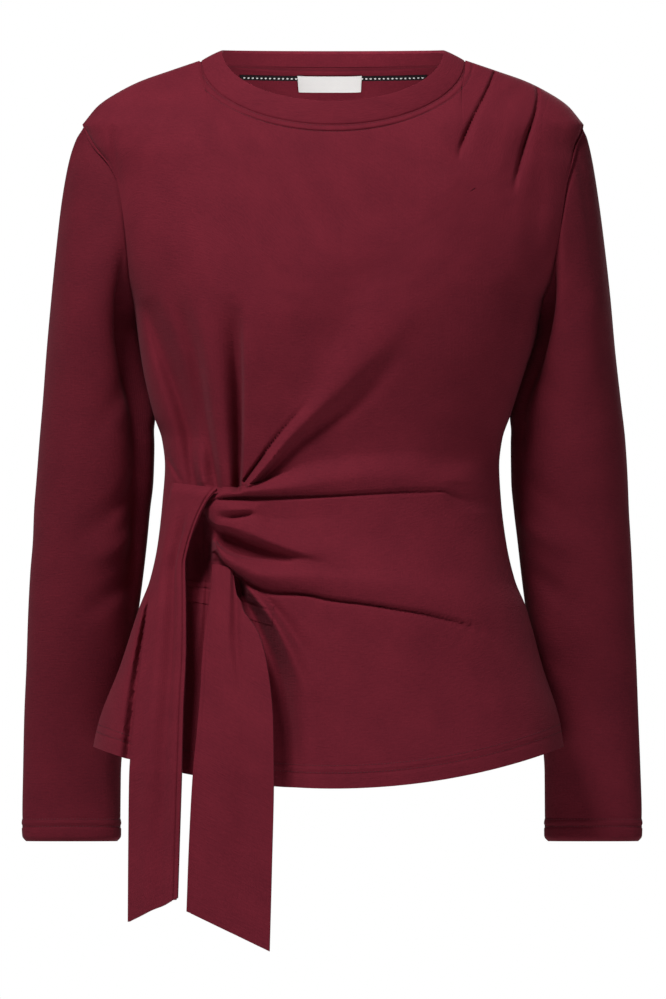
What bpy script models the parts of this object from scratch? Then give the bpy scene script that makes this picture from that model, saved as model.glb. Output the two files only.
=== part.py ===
"""A long-sleeved jersey top whose draped front is knotted at the wearer's right waist.

Sizes are in millimetres and become metres where a mesh is made. The origin is midway between the
two neck points. +X is the wearer's left, the front faces -Y and +Z is up. The top keeps the
rounded, hollow form that it has when it is worn.
"""
import math
from collections import namedtuple

import bpy
import numpy as np

MM = 0.001

# Cloth
WALL = 2.0
FOLDED_WALL = 2.6
BAND_WALL = 2.4
TAPE_WALL = 1.0
SEAM_GAP = 0.5
LAY_GAP = 0.5
TAPE_GAP = 0.9

# Neck: the seam of the band is the lower loop and its folded edge is the upper one
NECK_SEAM_HALF = 109.5
NECK_SEAM_SIDE_Z = -8.5
NECK_SEAM_FRONT_DROP = 54.5
NECK_SEAM_BACK_DROP = 4.3
NECK_SEAM_FRONT_Y = 74.0
NECK_SEAM_BACK_Y = 66.0
NECK_EDGE_HALF = 92.0
NECK_EDGE_FRONT_DROP = 43.4
NECK_EDGE_FRONT_Y = 66.0
NECK_EDGE_BACK_Y = 52.0
NECK_CORNER = 0.05
NECK_SHARE = 0.42
NECK_VIRTUAL_HALF = 97.0
BAND_EDGES = (1.0, 0.95, 0.7, 0.35, 0.05)

# Body
SHOULDER_TIP_X = 208.0
SHOULDER_TIP_Z = -62.0
UNDERARM_Z = -215.0
HEM_SIDE_Z = -578.0
FRONT_HEM_DROP = 33.5
BACK_HEM_DROP = 10.0
ROUNDNESS = 2.25

# Layout of a body panel's points, in shares of its height or half width: where the rows and columns
# have turned from the shoulder line to the hem, where the neck's own depth ends, and the width of
# the strips along the top and the sides in which the folds rise
LEVEL_BY = 0.3
NECK_DEPTH_BY = 0.1
FOLDS_FROM_TOP = 0.02
FOLDS_FROM_SIDE = 0.06

ShoulderRow = namedtuple("ShoulderRow", "z half")
SHOULDER = [
    ShoulderRow(-62.0, 208.0),
    ShoulderRow(-46.0, 194.5),
    ShoulderRow(-35.0, 178.0),
    ShoulderRow(-26.0, 160.0),
    ShoulderRow(-17.5, 136.0),
    ShoulderRow(-8.5, 109.5),
    ShoulderRow(-4.0, 96.0),
]

# Armhole seam: its distance from the middle on each side, and how far before the side it runs
ArmholeRow = namedtuple("ArmholeRow", "z right left reach")
ARMHOLE = [
    ArmholeRow(-215.0, 165.0, 173.0, 0.0),
    ArmholeRow(-206.0, 166.5, 175.0, 15.0),
    ArmholeRow(-190.0, 169.0, 181.0, 31.0),
    ArmholeRow(-164.0, 171.0, 186.0, 44.0),
    ArmholeRow(-136.0, 174.0, 190.0, 46.0),
    ArmholeRow(-111.0, 178.5, 194.0, 40.0),
    ArmholeRow(-96.0, 186.0, 198.0, 34.0),
    ArmholeRow(-81.0, 198.0, 201.0, 24.0),
    ArmholeRow(-68.0, 205.5, 207.0, 9.0),
    ArmholeRow(-62.0, 208.0, 208.0, 0.0),
]

# Side seams below the underarm, from the middle
SideRow = namedtuple("SideRow", "z right left")
SIDE = [
    SideRow(-620.0, 205.0, 198.0),
    SideRow(-578.0, 199.0, 191.5),
    SideRow(-556.0, 194.0, 188.0),
    SideRow(-512.0, 177.0, 174.0),
    SideRow(-462.0, 160.5, 160.0),
    SideRow(-440.0, 152.0, 151.0),
    SideRow(-410.0, 145.5, 144.0),
    SideRow(-374.0, 141.5, 139.5),
    SideRow(-345.0, 139.5, 138.0),
    SideRow(-323.0, 142.0, 140.5),
    SideRow(-304.0, 148.5, 147.0),
    SideRow(-266.0, 157.5, 159.5),
    SideRow(-240.0, 161.5, 168.0),
    SideRow(-215.0, 165.0, 173.0),
]

# Depth of the form before and behind the side seams
DepthRow = namedtuple("DepthRow", "z front back")
DEPTH = [
    DepthRow(-650.0, 129.0, 82.0),
    DepthRow(-600.0, 127.0, 81.0),
    DepthRow(-550.0, 121.0, 80.5),
    DepthRow(-500.0, 112.0, 80.0),
    DepthRow(-450.0, 101.0, 79.0),
    DepthRow(-400.0, 91.0, 78.0),
    DepthRow(-365.0, 88.0, 79.0),
    DepthRow(-330.0, 92.0, 83.0),
    DepthRow(-290.0, 101.0, 92.0),
    DepthRow(-250.0, 111.0, 100.0),
    DepthRow(-215.0, 115.0, 104.0),
    DepthRow(-180.0, 112.0, 105.0),
    DepthRow(-130.0, 101.0, 102.0),
    DepthRow(-90.0, 88.0, 96.0),
    DepthRow(-63.0, 74.0, 90.0),
    DepthRow(-40.0, 47.5, 84.0),
    DepthRow(-20.0, 21.6, 74.0),
    DepthRow(-12.8, 12.0, 66.0),
    DepthRow(-10.6, 8.0, 52.0),
    DepthRow(-9.2, 5.0, 36.0),
    DepthRow(-8.5, 2.0, 2.0),
]

# Folds of the front: height at each point of the crest, and how far it falls above and below.
# A negative height is a trough.
FOLD_BLEND = 3.0
FoldPoint = namedtuple("FoldPoint", "x z height above below")
FRONT_FOLDS = {
    "shoulder_pleat_inner": [
        FoldPoint(136.0, -17.0, 3.0, 14.0, 7.0),
        FoldPoint(122.0, -48.0, 3.0, 16.0, 8.0),
        FoldPoint(104.0, -90.0, 0.0, 22.0, 12.0),
    ],
    "shoulder_pleat_outer": [
        FoldPoint(170.0, -31.0, 3.0, 14.0, 7.0),
        FoldPoint(166.0, -58.0, 3.0, 16.0, 8.0),
        FoldPoint(151.0, -116.0, 0.0, 22.0, 12.0),
    ],
    "side_trough": [
        FoldPoint(-152.0, -225.0, 0.0, 16.0, 16.0),
        FoldPoint(-138.0, -262.0, -3.0, 16.0, 14.0),
        FoldPoint(-123.0, -309.0, -4.0, 14.0, 12.0),
        FoldPoint(-104.0, -345.0, -2.0, 12.0, 12.0),
    ],
    "waist_trough": [
        FoldPoint(-86.0, -205.0, 0.0, 15.0, 15.0),
        FoldPoint(-79.0, -262.0, -6.0, 13.0, 12.0),
        FoldPoint(-79.0, -324.0, -9.0, 12.0, 11.0),
        FoldPoint(-77.0, -352.0, -9.0, 11.0, 10.0),
    ],
    "long_diagonal": [
        FoldPoint(96.0, -135.0, 0.0, 32.0, 28.0),
        FoldPoint(62.0, -172.0, 4.0, 28.0, 22.0),
        FoldPoint(12.0, -240.0, 8.0, 26.0, 18.0),
        FoldPoint(-36.0, -305.0, 10.0, 20.0, 15.0),
        FoldPoint(-64.0, -344.0, 9.0, 15.0, 12.0),
    ],
    "upper_ridge": [
        FoldPoint(128.0, -343.0, 0.0, 24.0, 14.0),
        FoldPoint(80.0, -348.0, 5.0, 22.0, 13.0),
        FoldPoint(20.0, -352.0, 8.0, 20.0, 12.0),
        FoldPoint(-40.0, -358.0, 13.0, 17.0, 12.0),
        FoldPoint(-70.0, -366.0, 16.0, 14.0, 12.0),
    ],
    "middle_crest": [
        FoldPoint(-70.0, -394.0, 14.0, 14.0, 11.0),
        FoldPoint(-44.0, -404.0, 9.0, 16.0, 13.0),
        FoldPoint(-14.0, -422.0, 0.0, 18.0, 16.0),
    ],
    "lower_ridge": [
        FoldPoint(-72.0, -430.0, 16.0, 12.0, 11.0),
        FoldPoint(-40.0, -438.0, 18.0, 15.0, 12.0),
        FoldPoint(13.0, -440.0, 14.0, 20.0, 13.0),
        FoldPoint(70.0, -450.0, 9.0, 26.0, 15.0),
        FoldPoint(134.0, -470.0, 0.0, 30.0, 18.0),
    ],
    "falling_ridge": [
        FoldPoint(-62.0, -456.0, 7.0, 12.0, 12.0),
        FoldPoint(-46.0, -476.0, 7.0, 13.0, 13.0),
        FoldPoint(-27.0, -510.0, 5.0, 15.0, 15.0),
        FoldPoint(-18.0, -565.0, 0.0, 20.0, 20.0),
    ],
}
BACK_FOLDS = {
    "waist_crease": [
        FoldPoint(-120.0, -352.0, 0.0, 14.0, 12.0),
        FoldPoint(-60.0, -362.0, 4.0, 14.0, 9.0),
        FoldPoint(20.0, -366.0, 5.0, 16.0, 9.0),
        FoldPoint(112.0, -350.0, 0.0, 16.0, 12.0),
    ],
    "hip_trough": [
        FoldPoint(-104.0, -400.0, 0.0, 20.0, 20.0),
        FoldPoint(-70.0, -440.0, -4.0, 20.0, 18.0),
        FoldPoint(-10.0, -500.0, 0.0, 24.0, 24.0),
    ],
    "shoulder_trough": [
        FoldPoint(128.0, -150.0, 0.0, 22.0, 22.0),
        FoldPoint(96.0, -210.0, -4.0, 22.0, 20.0),
        FoldPoint(52.0, -290.0, 0.0, 24.0, 24.0),
    ],
}

# Sleeve sections, each from an outer point to an inner point, as deep as it is behind the cuff
SleeveRow = namedtuple("SleeveRow", "out_z in_z out_right out_left in_right in_left y deep")
SLEEVE = [
    SleeveRow(-62.0, -215.0, 208.0, 208.0, 165.6, 173.6, 0.0, 44.0),
    SleeveRow(-88.0, -222.0, 218.0, 214.5, 164.4, 172.3, 5.0, 50.0),
    SleeveRow(-124.0, -231.0, 225.0, 220.5, 163.4, 170.8, 10.0, 54.0),
    SleeveRow(-166.0, -241.0, 230.0, 226.0, 161.4, 168.0, 14.0, 56.0),
    SleeveRow(-206.0, -253.0, 234.0, 230.5, 159.4, 163.6, 17.0, 56.0),
    SleeveRow(-250.0, -272.0, 238.0, 234.5, 155.0, 156.4, 20.0, 54.0),
    SleeveRow(-290.0, -298.0, 241.0, 239.0, 150.2, 149.6, 22.0, 51.0),
    SleeveRow(-325.0, -328.0, 244.0, 243.0, 148.2, 147.6, 24.0, 48.5),
    SleeveRow(-357.0, -357.0, 246.5, 245.0, 149.0, 148.0, 27.0, 46.0),
    SleeveRow(-382.0, -382.0, 248.5, 246.0, 151.8, 150.2, 30.0, 43.5),
    SleeveRow(-407.0, -407.0, 249.5, 247.5, 154.2, 153.2, 32.0, 41.0),
    SleeveRow(-435.0, -435.0, 251.8, 249.0, 157.4, 156.4, 35.0, 38.0),
    SleeveRow(-470.0, -470.0, 253.6, 250.4, 162.0, 160.8, 38.0, 34.5),
    SleeveRow(-510.0, -510.0, 255.0, 252.4, 167.0, 166.0, 44.0, 31.0),
    SleeveRow(-555.0, -555.0, 257.0, 254.2, 172.4, 172.0, 51.5, 27.0),
    SleeveRow(-600.0, -600.0, 258.0, 256.0, 176.4, 176.0, 56.0, 24.0),
    SleeveRow(-632.0, -632.0, 258.6, 257.0, 176.8, 176.2, 58.0, 22.8),
    SleeveRow(-657.0, -657.0, 257.6, 256.2, 177.2, 176.6, 58.0, 22.0),
]
SLEEVE_ROUNDNESS = 2.2

# The sleeve's first ring stands off the armhole seam sideways, before and behind, and down. Within
# CROWN_ROWS rows of the table its rings have left the seam's shape.
CROWN_ROWS = 4.0
CROWN_OUT = 1.0
CROWN_OUT_AT_TOP = 0.15
CROWN_BEFORE = 0.25
CROWN_DOWN = 0.3
CROWN_WALL_TURN = 1.6

# Ties: left and right edge as seen from the front, and how far each edge stands before the front
TieRow = namedtuple("TieRow", "left_x left_z right_x right_z left_out right_out")
SIDE_TIE = [
    TieRow(-134.0, -367.5, -96.0, -360.0, 3.0, 6.0),
    TieRow(-138.0, -374.0, -101.0, -368.0, 13.0, 20.0),
    TieRow(-142.0, -390.0, -109.0, -381.0, 17.0, 23.0),
    TieRow(-145.5, -412.0, -117.0, -400.0, 17.0, 20.0),
    TieRow(-150.0, -440.0, -124.5, -424.0, 15.0, 16.0),
    TieRow(-154.5, -474.0, -124.0, -458.0, 13.0, 12.0),
    TieRow(-159.0, -520.0, -122.5, -505.0, 10.0, 8.0),
    TieRow(-165.0, -560.0, -124.0, -556.0, 7.0, 5.0),
    TieRow(-168.5, -602.0, -125.0, -600.0, 6.0, 4.5),
    TieRow(-169.2, -660.0, -127.0, -650.0, 6.0, 4.5),
    TieRow(-169.6, -722.0, -128.6, -702.0, 6.0, 4.5),
]
DRAPE_TIE = [
    TieRow(-99.0, -437.4, -82.0, -437.4, 0.4, 0.4),
    TieRow(-100.0, -448.0, -79.0, -447.0, 5.0, 6.0),
    TieRow(-102.0, -466.0, -74.0, -462.0, 3.5, 6.5),
    TieRow(-106.0, -500.0, -58.0, -492.0, 3.0, 6.0),
    TieRow(-111.0, -556.0, -49.5, -553.0, 3.0, 5.0),
    TieRow(-116.0, -604.0, -49.0, -604.0, 3.0, 4.0),
    TieRow(-119.0, -660.0, -50.5, -676.0, 3.0, 4.0),
    TieRow(-121.0, -713.0, -52.4, -745.7, 3.0, 4.0),
]
TIE_HANG_Z = -598.0

# Knot: the round left end of the gathered cloth, which the side tie comes round
KNOT_X = -88.0
KNOT_Z = -401.0
KNOT_HALF_WIDTH = 19.0
KNOT_HALF_HEIGHT = 36.0
KNOT_BULGE = 17.0
KNOT_EDGE = 3.2
KNOT_LOBES = 3.0
KNOT_LOBE_DEPTH = 2.4
KNOT_CLEAR_START = 1.4
KNOT_CLEAR_END = 1.9
KNOT_CORE = 0.04
KNOT_RINGS = 7
KNOT_SPOKES = 20

# Neck tape and blank label inside the back of the neck, in shares of the back's half width and height
Patch = namedtuple("Patch", "left right top bottom")
NECK_TAPE = Patch(-0.215, 0.215, 0.007, 0.021)
LABEL = Patch(-0.075, 0.06, 0.0102, 0.0345)
LABEL_STAND = TAPE_GAP + TAPE_WALL + LAY_GAP

# Mesh counts. A body panel's columns are those from its middle to the neck corner and on to its edge.
ARMHOLE_STEPS = 10
FRONT_COLUMNS = (12, 9)
FRONT_LOWER_ROWS = np.concatenate(
    [np.linspace(0.335, 0.5, 6), np.linspace(0.52, 0.81, 16), np.linspace(0.86, 1.0, 4)]
)
BACK_COLUMNS = (6, 6)
BACK_LOWER_ROWS = np.linspace(0.36, 1.0, 11)
TIE_COLUMNS = 6
PATCH_ROWS = 4

BURGUNDY = (0.138, 0.016, 0.028, 1.0)
SEAM_BLACK = (0.02, 0.018, 0.02, 1.0)
WHITE = (0.85, 0.85, 0.83, 1.0)


def smooth_column(rows, column, at):
    """Monotone cubic through one column of a table whose rows rise with z."""
    stations = np.array([row.z for row in rows])
    values = np.array([getattr(row, column) for row in rows])
    return monotone_cubic(stations, values, at)


def monotone_cubic(stations, values, at):
    """Smooth curve through the values at rising stations, which never passes beyond them."""
    steps = np.diff(stations)
    chords = np.diff(values) / steps
    slopes = np.zeros_like(values)
    slopes[0], slopes[-1] = chords[0], chords[-1]
    same = chords[:-1] * chords[1:] > 0
    slopes[1:-1][same] = 2 * chords[:-1][same] * chords[1:][same] / (chords[:-1] + chords[1:])[same]
    at = np.clip(at, stations[0], stations[-1])
    i = np.clip(np.searchsorted(stations, at, side="right") - 1, 0, len(steps) - 1)
    t = (at - stations[i]) / steps[i]
    return (
        (2 * t**3 - 3 * t**2 + 1) * values[i]
        + (t**3 - 2 * t**2 + t) * steps[i] * slopes[i]
        + (3 * t**2 - 2 * t**3) * values[i + 1]
        + (t**3 - t**2) * steps[i] * slopes[i + 1]
    )


def ease(t):
    """Smooth step from 0 to 1."""
    t = np.clip(t, 0.0, 1.0)
    return t * t * (3 - 2 * t)


def superellipse(share, power):
    """Height of a rounded box section of unit size at a share of its half width."""
    return (1 - np.clip(np.abs(share), 0.0, 1.0) ** power) ** (1 / power)


def shoulder_z(half):
    """Height of the shoulder line at a distance from the middle."""
    halves = np.array([row.half for row in reversed(SHOULDER)])
    heights = np.array([row.z for row in reversed(SHOULDER)])
    return monotone_cubic(halves, heights, half)


def form_half_rows(side):
    """Half width of the form at each z: shoulder line, armhole and side seam in one table."""
    rows = [(row.z, getattr(row, side)) for row in SIDE]
    for row in ARMHOLE[1:-1]:
        depth = float(smooth_column(DEPTH, "front", row.z))
        rows.append((row.z, getattr(row, side) / float(superellipse(row.reach / depth, ROUNDNESS))))
    rows += [(float(shoulder_z(half)), half) for half in np.linspace(SHOULDER_TIP_X, NECK_VIRTUAL_HALF, 40)]
    return np.array(rows).T


FORM_HALF = {side: form_half_rows(side) for side in ("right", "left")}


def form_depth(x, z, face):
    """Distance of the smooth form from the plane of the side seams."""
    half = np.where(x < 0, monotone_cubic(*FORM_HALF["right"], z), monotone_cubic(*FORM_HALF["left"], z))
    return smooth_column(DEPTH, face, z) * superellipse(x / half, ROUNDNESS)


def fold_relief(x, z, folds):
    """Height that the folds add at points seen from the front."""
    ridges = np.zeros_like(x)
    troughs = np.zeros_like(x)
    for points in folds.values():
        best = np.full_like(x, np.inf)
        height = np.zeros_like(x)
        for start, end in zip(points[:-1], points[1:]):
            run_x, run_z = end.x - start.x, end.z - start.z
            along = ((x - start.x) * run_x + (z - start.z) * run_z) / (run_x**2 + run_z**2)
            along = np.clip(along, 0.0, 1.0)
            off_x = x - start.x - along * run_x
            off_z = z - start.z - along * run_z
            distance = np.hypot(off_x, off_z)
            above = (run_x * off_z - run_z * off_x > 0) == (run_x > 0)
            fall_above = start.above + along * (end.above - start.above)
            fall_below = start.below + along * (end.below - start.below)
            fall = np.where(above, fall_above, fall_below)
            crest = start.height + ease(along) * (end.height - start.height)
            height = np.where(distance < best, crest * np.exp(-((distance / fall) ** 2)), height)
            best = np.minimum(best, distance)
        ridges += np.clip(height, 0, None) ** FOLD_BLEND
        troughs += np.clip(height, None, 0)
    return ridges ** (1 / FOLD_BLEND) + troughs


def front_relief(x, z):
    """Folds of the front, which start outside the knot."""
    from_knot = np.hypot((x - KNOT_X) / KNOT_HALF_WIDTH, (z - KNOT_Z) / KNOT_HALF_HEIGHT)
    clear = ease((from_knot - KNOT_CLEAR_START) / (KNOT_CLEAR_END - KNOT_CLEAR_START))
    return clear * fold_relief(x, z, FRONT_FOLDS)


def front_y(x, z):
    """Outer face of the draped front."""
    return -form_depth(x, z, "front") - front_relief(x, z)


def neck_loop(angle, edge):
    """A loop round the neck, from its front middle: edge 0 is the band's seam and 1 its folded edge."""
    toward = np.cos(angle)
    front = (toward + np.sqrt(toward**2 + NECK_CORNER**2)) / 2
    back = front - toward
    half = NECK_SEAM_HALF + edge * (NECK_EDGE_HALF - NECK_SEAM_HALF)
    front_reach = NECK_SEAM_FRONT_Y + edge * (NECK_EDGE_FRONT_Y - NECK_SEAM_FRONT_Y)
    back_reach = NECK_SEAM_BACK_Y + edge * (NECK_EDGE_BACK_Y - NECK_SEAM_BACK_Y)
    seam_z = NECK_SEAM_SIDE_Z - NECK_SEAM_FRONT_DROP * front - NECK_SEAM_BACK_DROP * back
    edge_z = -NECK_EDGE_FRONT_DROP * front
    return np.stack(
        [
            half * np.sin(angle),
            np.where(toward > 0, -front_reach, -back_reach) * toward,
            seam_z + edge * (edge_z - seam_z),
        ],
        axis=-1,
    )


def armhole_share():
    """Row stations of the armhole seam, closer together at its two ends."""
    return (1 - np.cos(np.linspace(0, math.pi, ARMHOLE_STEPS + 1))) / 2


def edge_half(z, side):
    """Half width of the body panels: the armhole seam above the underarm, the side seam below."""
    return np.where(z > UNDERARM_Z, smooth_column(ARMHOLE, side, z), smooth_column(SIDE, side, z))


def panel_rows(lower_rows):
    """Row stations of a body panel as shares of its height: those of the armhole, then the rest."""
    armhole_rows = armhole_share() * (SHOULDER_TIP_Z - UNDERARM_Z) / (SHOULDER_TIP_Z - HEM_SIDE_Z)
    return np.concatenate([armhole_rows, lower_rows])


def panel_columns(columns):
    """Column stations of a body panel from -1 at the wearer's right to 1 at the left."""
    on_neck, beyond = columns
    half = np.concatenate(
        [np.linspace(0, NECK_SHARE, on_neck + 1), np.linspace(NECK_SHARE, 1, beyond + 1)[1:]]
    )
    return np.concatenate([-half[:0:-1], half])


def panel_grid(face, columns, lower_rows):
    """Outer points of the front or back: rows from shoulder and neck to hem, columns side to side."""
    across = panel_columns(columns)
    outer = np.clip((np.abs(across) - NECK_SHARE) / (1 - NECK_SHARE), 0, 1)
    angle = np.clip(across / NECK_SHARE, -1, 1) * math.pi / 2
    neck = neck_loop(angle if face == "front" else math.pi - angle, 0.0)
    shoulder_x = NECK_SEAM_HALF + outer * (SHOULDER_TIP_X - NECK_SEAM_HALF)
    on_neck = np.abs(across) < NECK_SHARE + 1e-6
    top_x = np.where(on_neck, neck[:, 0], np.sign(across) * shoulder_x)
    top_y = np.where(on_neck, neck[:, 1], 0.0)
    top_z = np.where(on_neck, neck[:, 2], shoulder_z(shoulder_x))

    hem_drop = FRONT_HEM_DROP if face == "front" else BACK_HEM_DROP
    hem_z = HEM_SIDE_Z - hem_drop * np.cos(across * math.pi / 2) ** 2
    down = panel_rows(lower_rows)[:, None]
    z = top_z + down * (hem_z - top_z)
    edge_z = SHOULDER_TIP_Z + down * (HEM_SIDE_Z - SHOULDER_TIP_Z)
    lowered = ease(down / LEVEL_BY)
    level_z = edge_z + lowered * (z - edge_z)
    edge = np.where(across < 0, edge_half(level_z, "right"), edge_half(level_z, "left"))
    lower = np.sin(across * math.pi / 2)
    spread = top_x / SHOULDER_TIP_X + lowered * (lower - top_x / SHOULDER_TIP_X)
    x = edge * spread
    y = form_depth(x, z, face)
    if face == "front":
        y = -y
    y = y + (top_y - y[0]) * (1 - ease(down / NECK_DEPTH_BY))
    fade = ease(down / FOLDS_FROM_TOP) * ease((1 - np.abs(across)) / FOLDS_FROM_SIDE)
    if face == "front":
        y = y - fade * front_relief(x, z) - SEAM_GAP / 2
    else:
        y = y + fade * fold_relief(x, z, BACK_FOLDS) + SEAM_GAP / 2
    return np.stack([x, y, z], axis=-1)


def grid_normals(grid, closed):
    """Unit normals of a grid of points whose columns may join up."""
    if closed:
        across = np.roll(grid, -1, axis=1) - np.roll(grid, 1, axis=1)
    else:
        across = np.gradient(grid, axis=1)
    down = np.gradient(grid, axis=0)
    normals = np.cross(down, across)
    return normals / np.linalg.norm(normals, axis=-1, keepdims=True)


def make_shell(name, grid, inner, closed, colour):
    """Close an outer and an inner grid of points into one wall."""
    rows, columns = grid.shape[:2]
    count = rows * columns

    def at(layer, row, column):
        return layer * count + row * columns + column % columns

    steps = columns if closed else columns - 1
    faces = []
    for row in range(rows - 1):
        for column in range(steps):
            quad = [(row, column), (row + 1, column), (row + 1, column + 1), (row, column + 1)]
            faces.append([at(0, *corner) for corner in quad])
            faces.append([at(1, *corner) for corner in reversed(quad)])
    for column in range(steps):
        for row, order in ((0, 1), (rows - 1, -1)):
            rim = [at(0, row, column), at(0, row, column + 1), at(1, row, column + 1), at(1, row, column)]
            faces.append(rim[::order])
    if not closed:
        for row in range(rows - 1):
            for column, order in ((0, -1), (columns - 1, 1)):
                below = row + 1
                rim = [at(0, row, column), at(0, below, column), at(1, below, column), at(1, row, column)]
                faces.append(rim[::order])
    points = np.concatenate([grid.reshape(-1, 3), inner.reshape(-1, 3)]) * MM
    mesh = bpy.data.meshes.new(name)
    mesh.from_pydata(points.tolist(), [], faces)
    mesh.validate()
    mesh.shade_smooth()
    piece = bpy.data.objects.new(name, mesh)
    TOP.objects.link(piece)
    material = bpy.data.materials.new(name)
    material.use_nodes = True
    shader = material.node_tree.nodes["Principled BSDF"]
    shader.inputs["Base Color"].default_value = colour
    shader.inputs["Roughness"].default_value = 0.9
    shader.inputs["Metallic"].default_value = 0.0
    mesh.materials.append(material)
    return piece


def make_panel(face, columns, lower_rows):
    """Front or back: its wall stands square to the side and shoulder seams."""
    grid = panel_grid(face, columns, lower_rows)
    if face == "back":
        grid = grid[:, ::-1]
    normals = grid_normals(grid, closed=False)
    below_armhole = np.arange(grid.shape[0]) >= ARMHOLE_STEPS
    for column in (0, -1):
        normals[below_armhole, column, 1:] = 0.0
    flat = np.abs(grid[0, :, 0]) >= NECK_SEAM_HALF - 0.1
    normals[0, flat, 1] = 0.0
    normals /= np.linalg.norm(normals, axis=-1, keepdims=True)
    inner = grid - WALL * normals
    make_shell(face, grid, inner, False, BURGUNDY)
    if face == "back":
        normals, inner = normals[:, ::-1], inner[:, ::-1]
    return inner, normals


def neck_stations(front_normals, back_normals):
    """Angles of the panels' neck columns, and the directions in which the body's wall stands there."""
    front_across = panel_columns(FRONT_COLUMNS)
    back_across = panel_columns(BACK_COLUMNS)
    on_front = np.abs(front_across) < NECK_SHARE + 1e-6
    on_back = np.abs(back_across) < NECK_SHARE - 1e-6
    angle = np.concatenate(
        [
            front_across[on_front] / NECK_SHARE * math.pi / 2,
            math.pi - back_across[on_back][::-1] / NECK_SHARE * math.pi / 2,
        ]
    )
    return angle, np.concatenate([front_normals[0, on_front], back_normals[0, on_back][::-1]])


def armhole_point(z, side, sign, face):
    """A point of the armhole seam, shared by the body panel and the sleeve."""
    x = sign * edge_half(z, side)
    y = form_depth(x, z, face)
    return np.stack([x, -y if face == "front" else y, z], axis=-1)


def make_sleeve(side, sign, front_normals, back_normals):
    """A sleeve tube: tilted oval sections whose first ring follows the armhole seam."""
    share = armhole_share()
    half_turn = share * (UNDERARM_Z - SHOULDER_TIP_Z) + SHOULDER_TIP_Z
    angle = np.linspace(0, 2 * math.pi, 2 * ARMHOLE_STEPS, endpoint=False)
    front = armhole_point(half_turn, side, sign, "front")
    back = armhole_point(half_turn, side, sign, "back")
    seam = np.concatenate([front, back[-2:0:-1]])
    lean = (1 + np.cos(angle)) / 2
    rings = []
    for index, row in enumerate(SLEEVE):
        out_x, in_x = getattr(row, "out_" + side), getattr(row, "in_" + side)
        ring = np.stack(
            [
                sign * (in_x + lean * (out_x - in_x)),
                row.y - row.deep * np.sign(np.sin(angle)) * superellipse(np.cos(angle), SLEEVE_ROUNDNESS),
                row.in_z + lean * (row.out_z - row.in_z),
            ],
            axis=-1,
        )
        if index == 0:
            offset = seam - ring
            offset[:, 0] += sign * (CROWN_OUT + CROWN_OUT_AT_TOP * lean)
            offset[:, 1] -= CROWN_BEFORE * np.sin(angle)
            offset[:, 2] -= CROWN_DOWN * lean
        ring = ring + offset * (1 - ease(index / CROWN_ROWS))
        rings.append(ring)
    grid = np.array(rings)
    column = 0 if sign < 0 else -1
    on_front = front_normals[: ARMHOLE_STEPS + 1, column]
    on_back = back_normals[: ARMHOLE_STEPS + 1, column]
    body = np.concatenate([on_front, on_back[-2:0:-1]])
    alike = ease(2 * lean * CROWN_WALL_TURN)[:, None]
    if sign > 0:
        grid, body, alike = grid[:, ::-1], body[::-1], alike[::-1]
    normals = grid_normals(grid, closed=True)
    normals[0] += alike * (body - normals[0])
    normals[0] /= np.linalg.norm(normals[0], axis=-1, keepdims=True)
    make_shell("sleeve_" + side, grid, grid - WALL * normals, True, BURGUNDY)


def make_neckband(front_normals, back_normals):
    """The doubled band that stands round the neck from its seam to its folded edge."""
    angle, wall_normals = neck_stations(front_normals, back_normals)
    grid = np.array([neck_loop(angle, edge) for edge in BAND_EDGES])
    normals = grid_normals(grid, closed=True)
    normals[-1] = wall_normals
    make_shell("neckband", grid, grid - BAND_WALL * normals, True, BURGUNDY)


def tie_grid(rows):
    """A tie lies on the front, then hangs straight below the hem."""
    between = np.linspace(0, 1, TIE_COLUMNS + 1)
    grid = []
    for row in rows:
        x = row.left_x + between * (row.right_x - row.left_x)
        z = row.left_z + between * (row.right_z - row.left_z)
        stand = row.left_out + between * (row.right_out - row.left_out)
        resting_z = np.maximum(z, TIE_HANG_Z)
        y = front_y(x, resting_z) - FOLDED_WALL - LAY_GAP - stand
        grid.append(np.stack([x, y, z], axis=-1))
    return refine_rows(np.array(grid), 2)


def refine_rows(grid, parts):
    """Rows added between the rows of a table, on a smooth curve through them."""
    stations = np.arange(grid.shape[0], dtype=float)
    at = np.linspace(0, grid.shape[0] - 1, parts * (grid.shape[0] - 1) + 1)
    columns = [
        [monotone_cubic(stations, grid[:, column, axis], at) for axis in range(3)]
        for column in range(grid.shape[1])
    ]
    return np.transpose(np.array(columns), (2, 0, 1))


def make_tie(name, rows):
    """A doubled strip of cloth with its free end below the hem."""
    grid = tie_grid(rows)
    normals = grid_normals(grid, closed=False)
    make_shell(name, grid, grid - FOLDED_WALL * normals, False, BURGUNDY)


def make_knot():
    """The rounded end of the gathered cloth, made from the front's points, moved out."""
    reach = np.linspace(KNOT_CORE, 1, KNOT_RINGS)[:, None]
    turn = np.linspace(0, 2 * math.pi, KNOT_SPOKES, endpoint=False)[None, :]
    x = KNOT_X + KNOT_HALF_WIDTH * reach * np.cos(turn)
    z = KNOT_Z + KNOT_HALF_HEIGHT * reach * np.sin(turn)
    level = form_depth(x, z, "front")
    lobes = KNOT_LOBE_DEPTH * np.cos((z - KNOT_Z) / KNOT_HALF_HEIGHT * KNOT_LOBES * math.pi)
    bulge = KNOT_EDGE + (KNOT_BULGE + lobes) * np.sqrt(np.clip(1 - reach**2, 0, 1))
    grid = np.stack([x, -(level + LAY_GAP + bulge), z], axis=-1)
    inner = np.stack([x, -(level + LAY_GAP), z], axis=-1)
    make_shell("knot", grid, inner, True, BURGUNDY)


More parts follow.
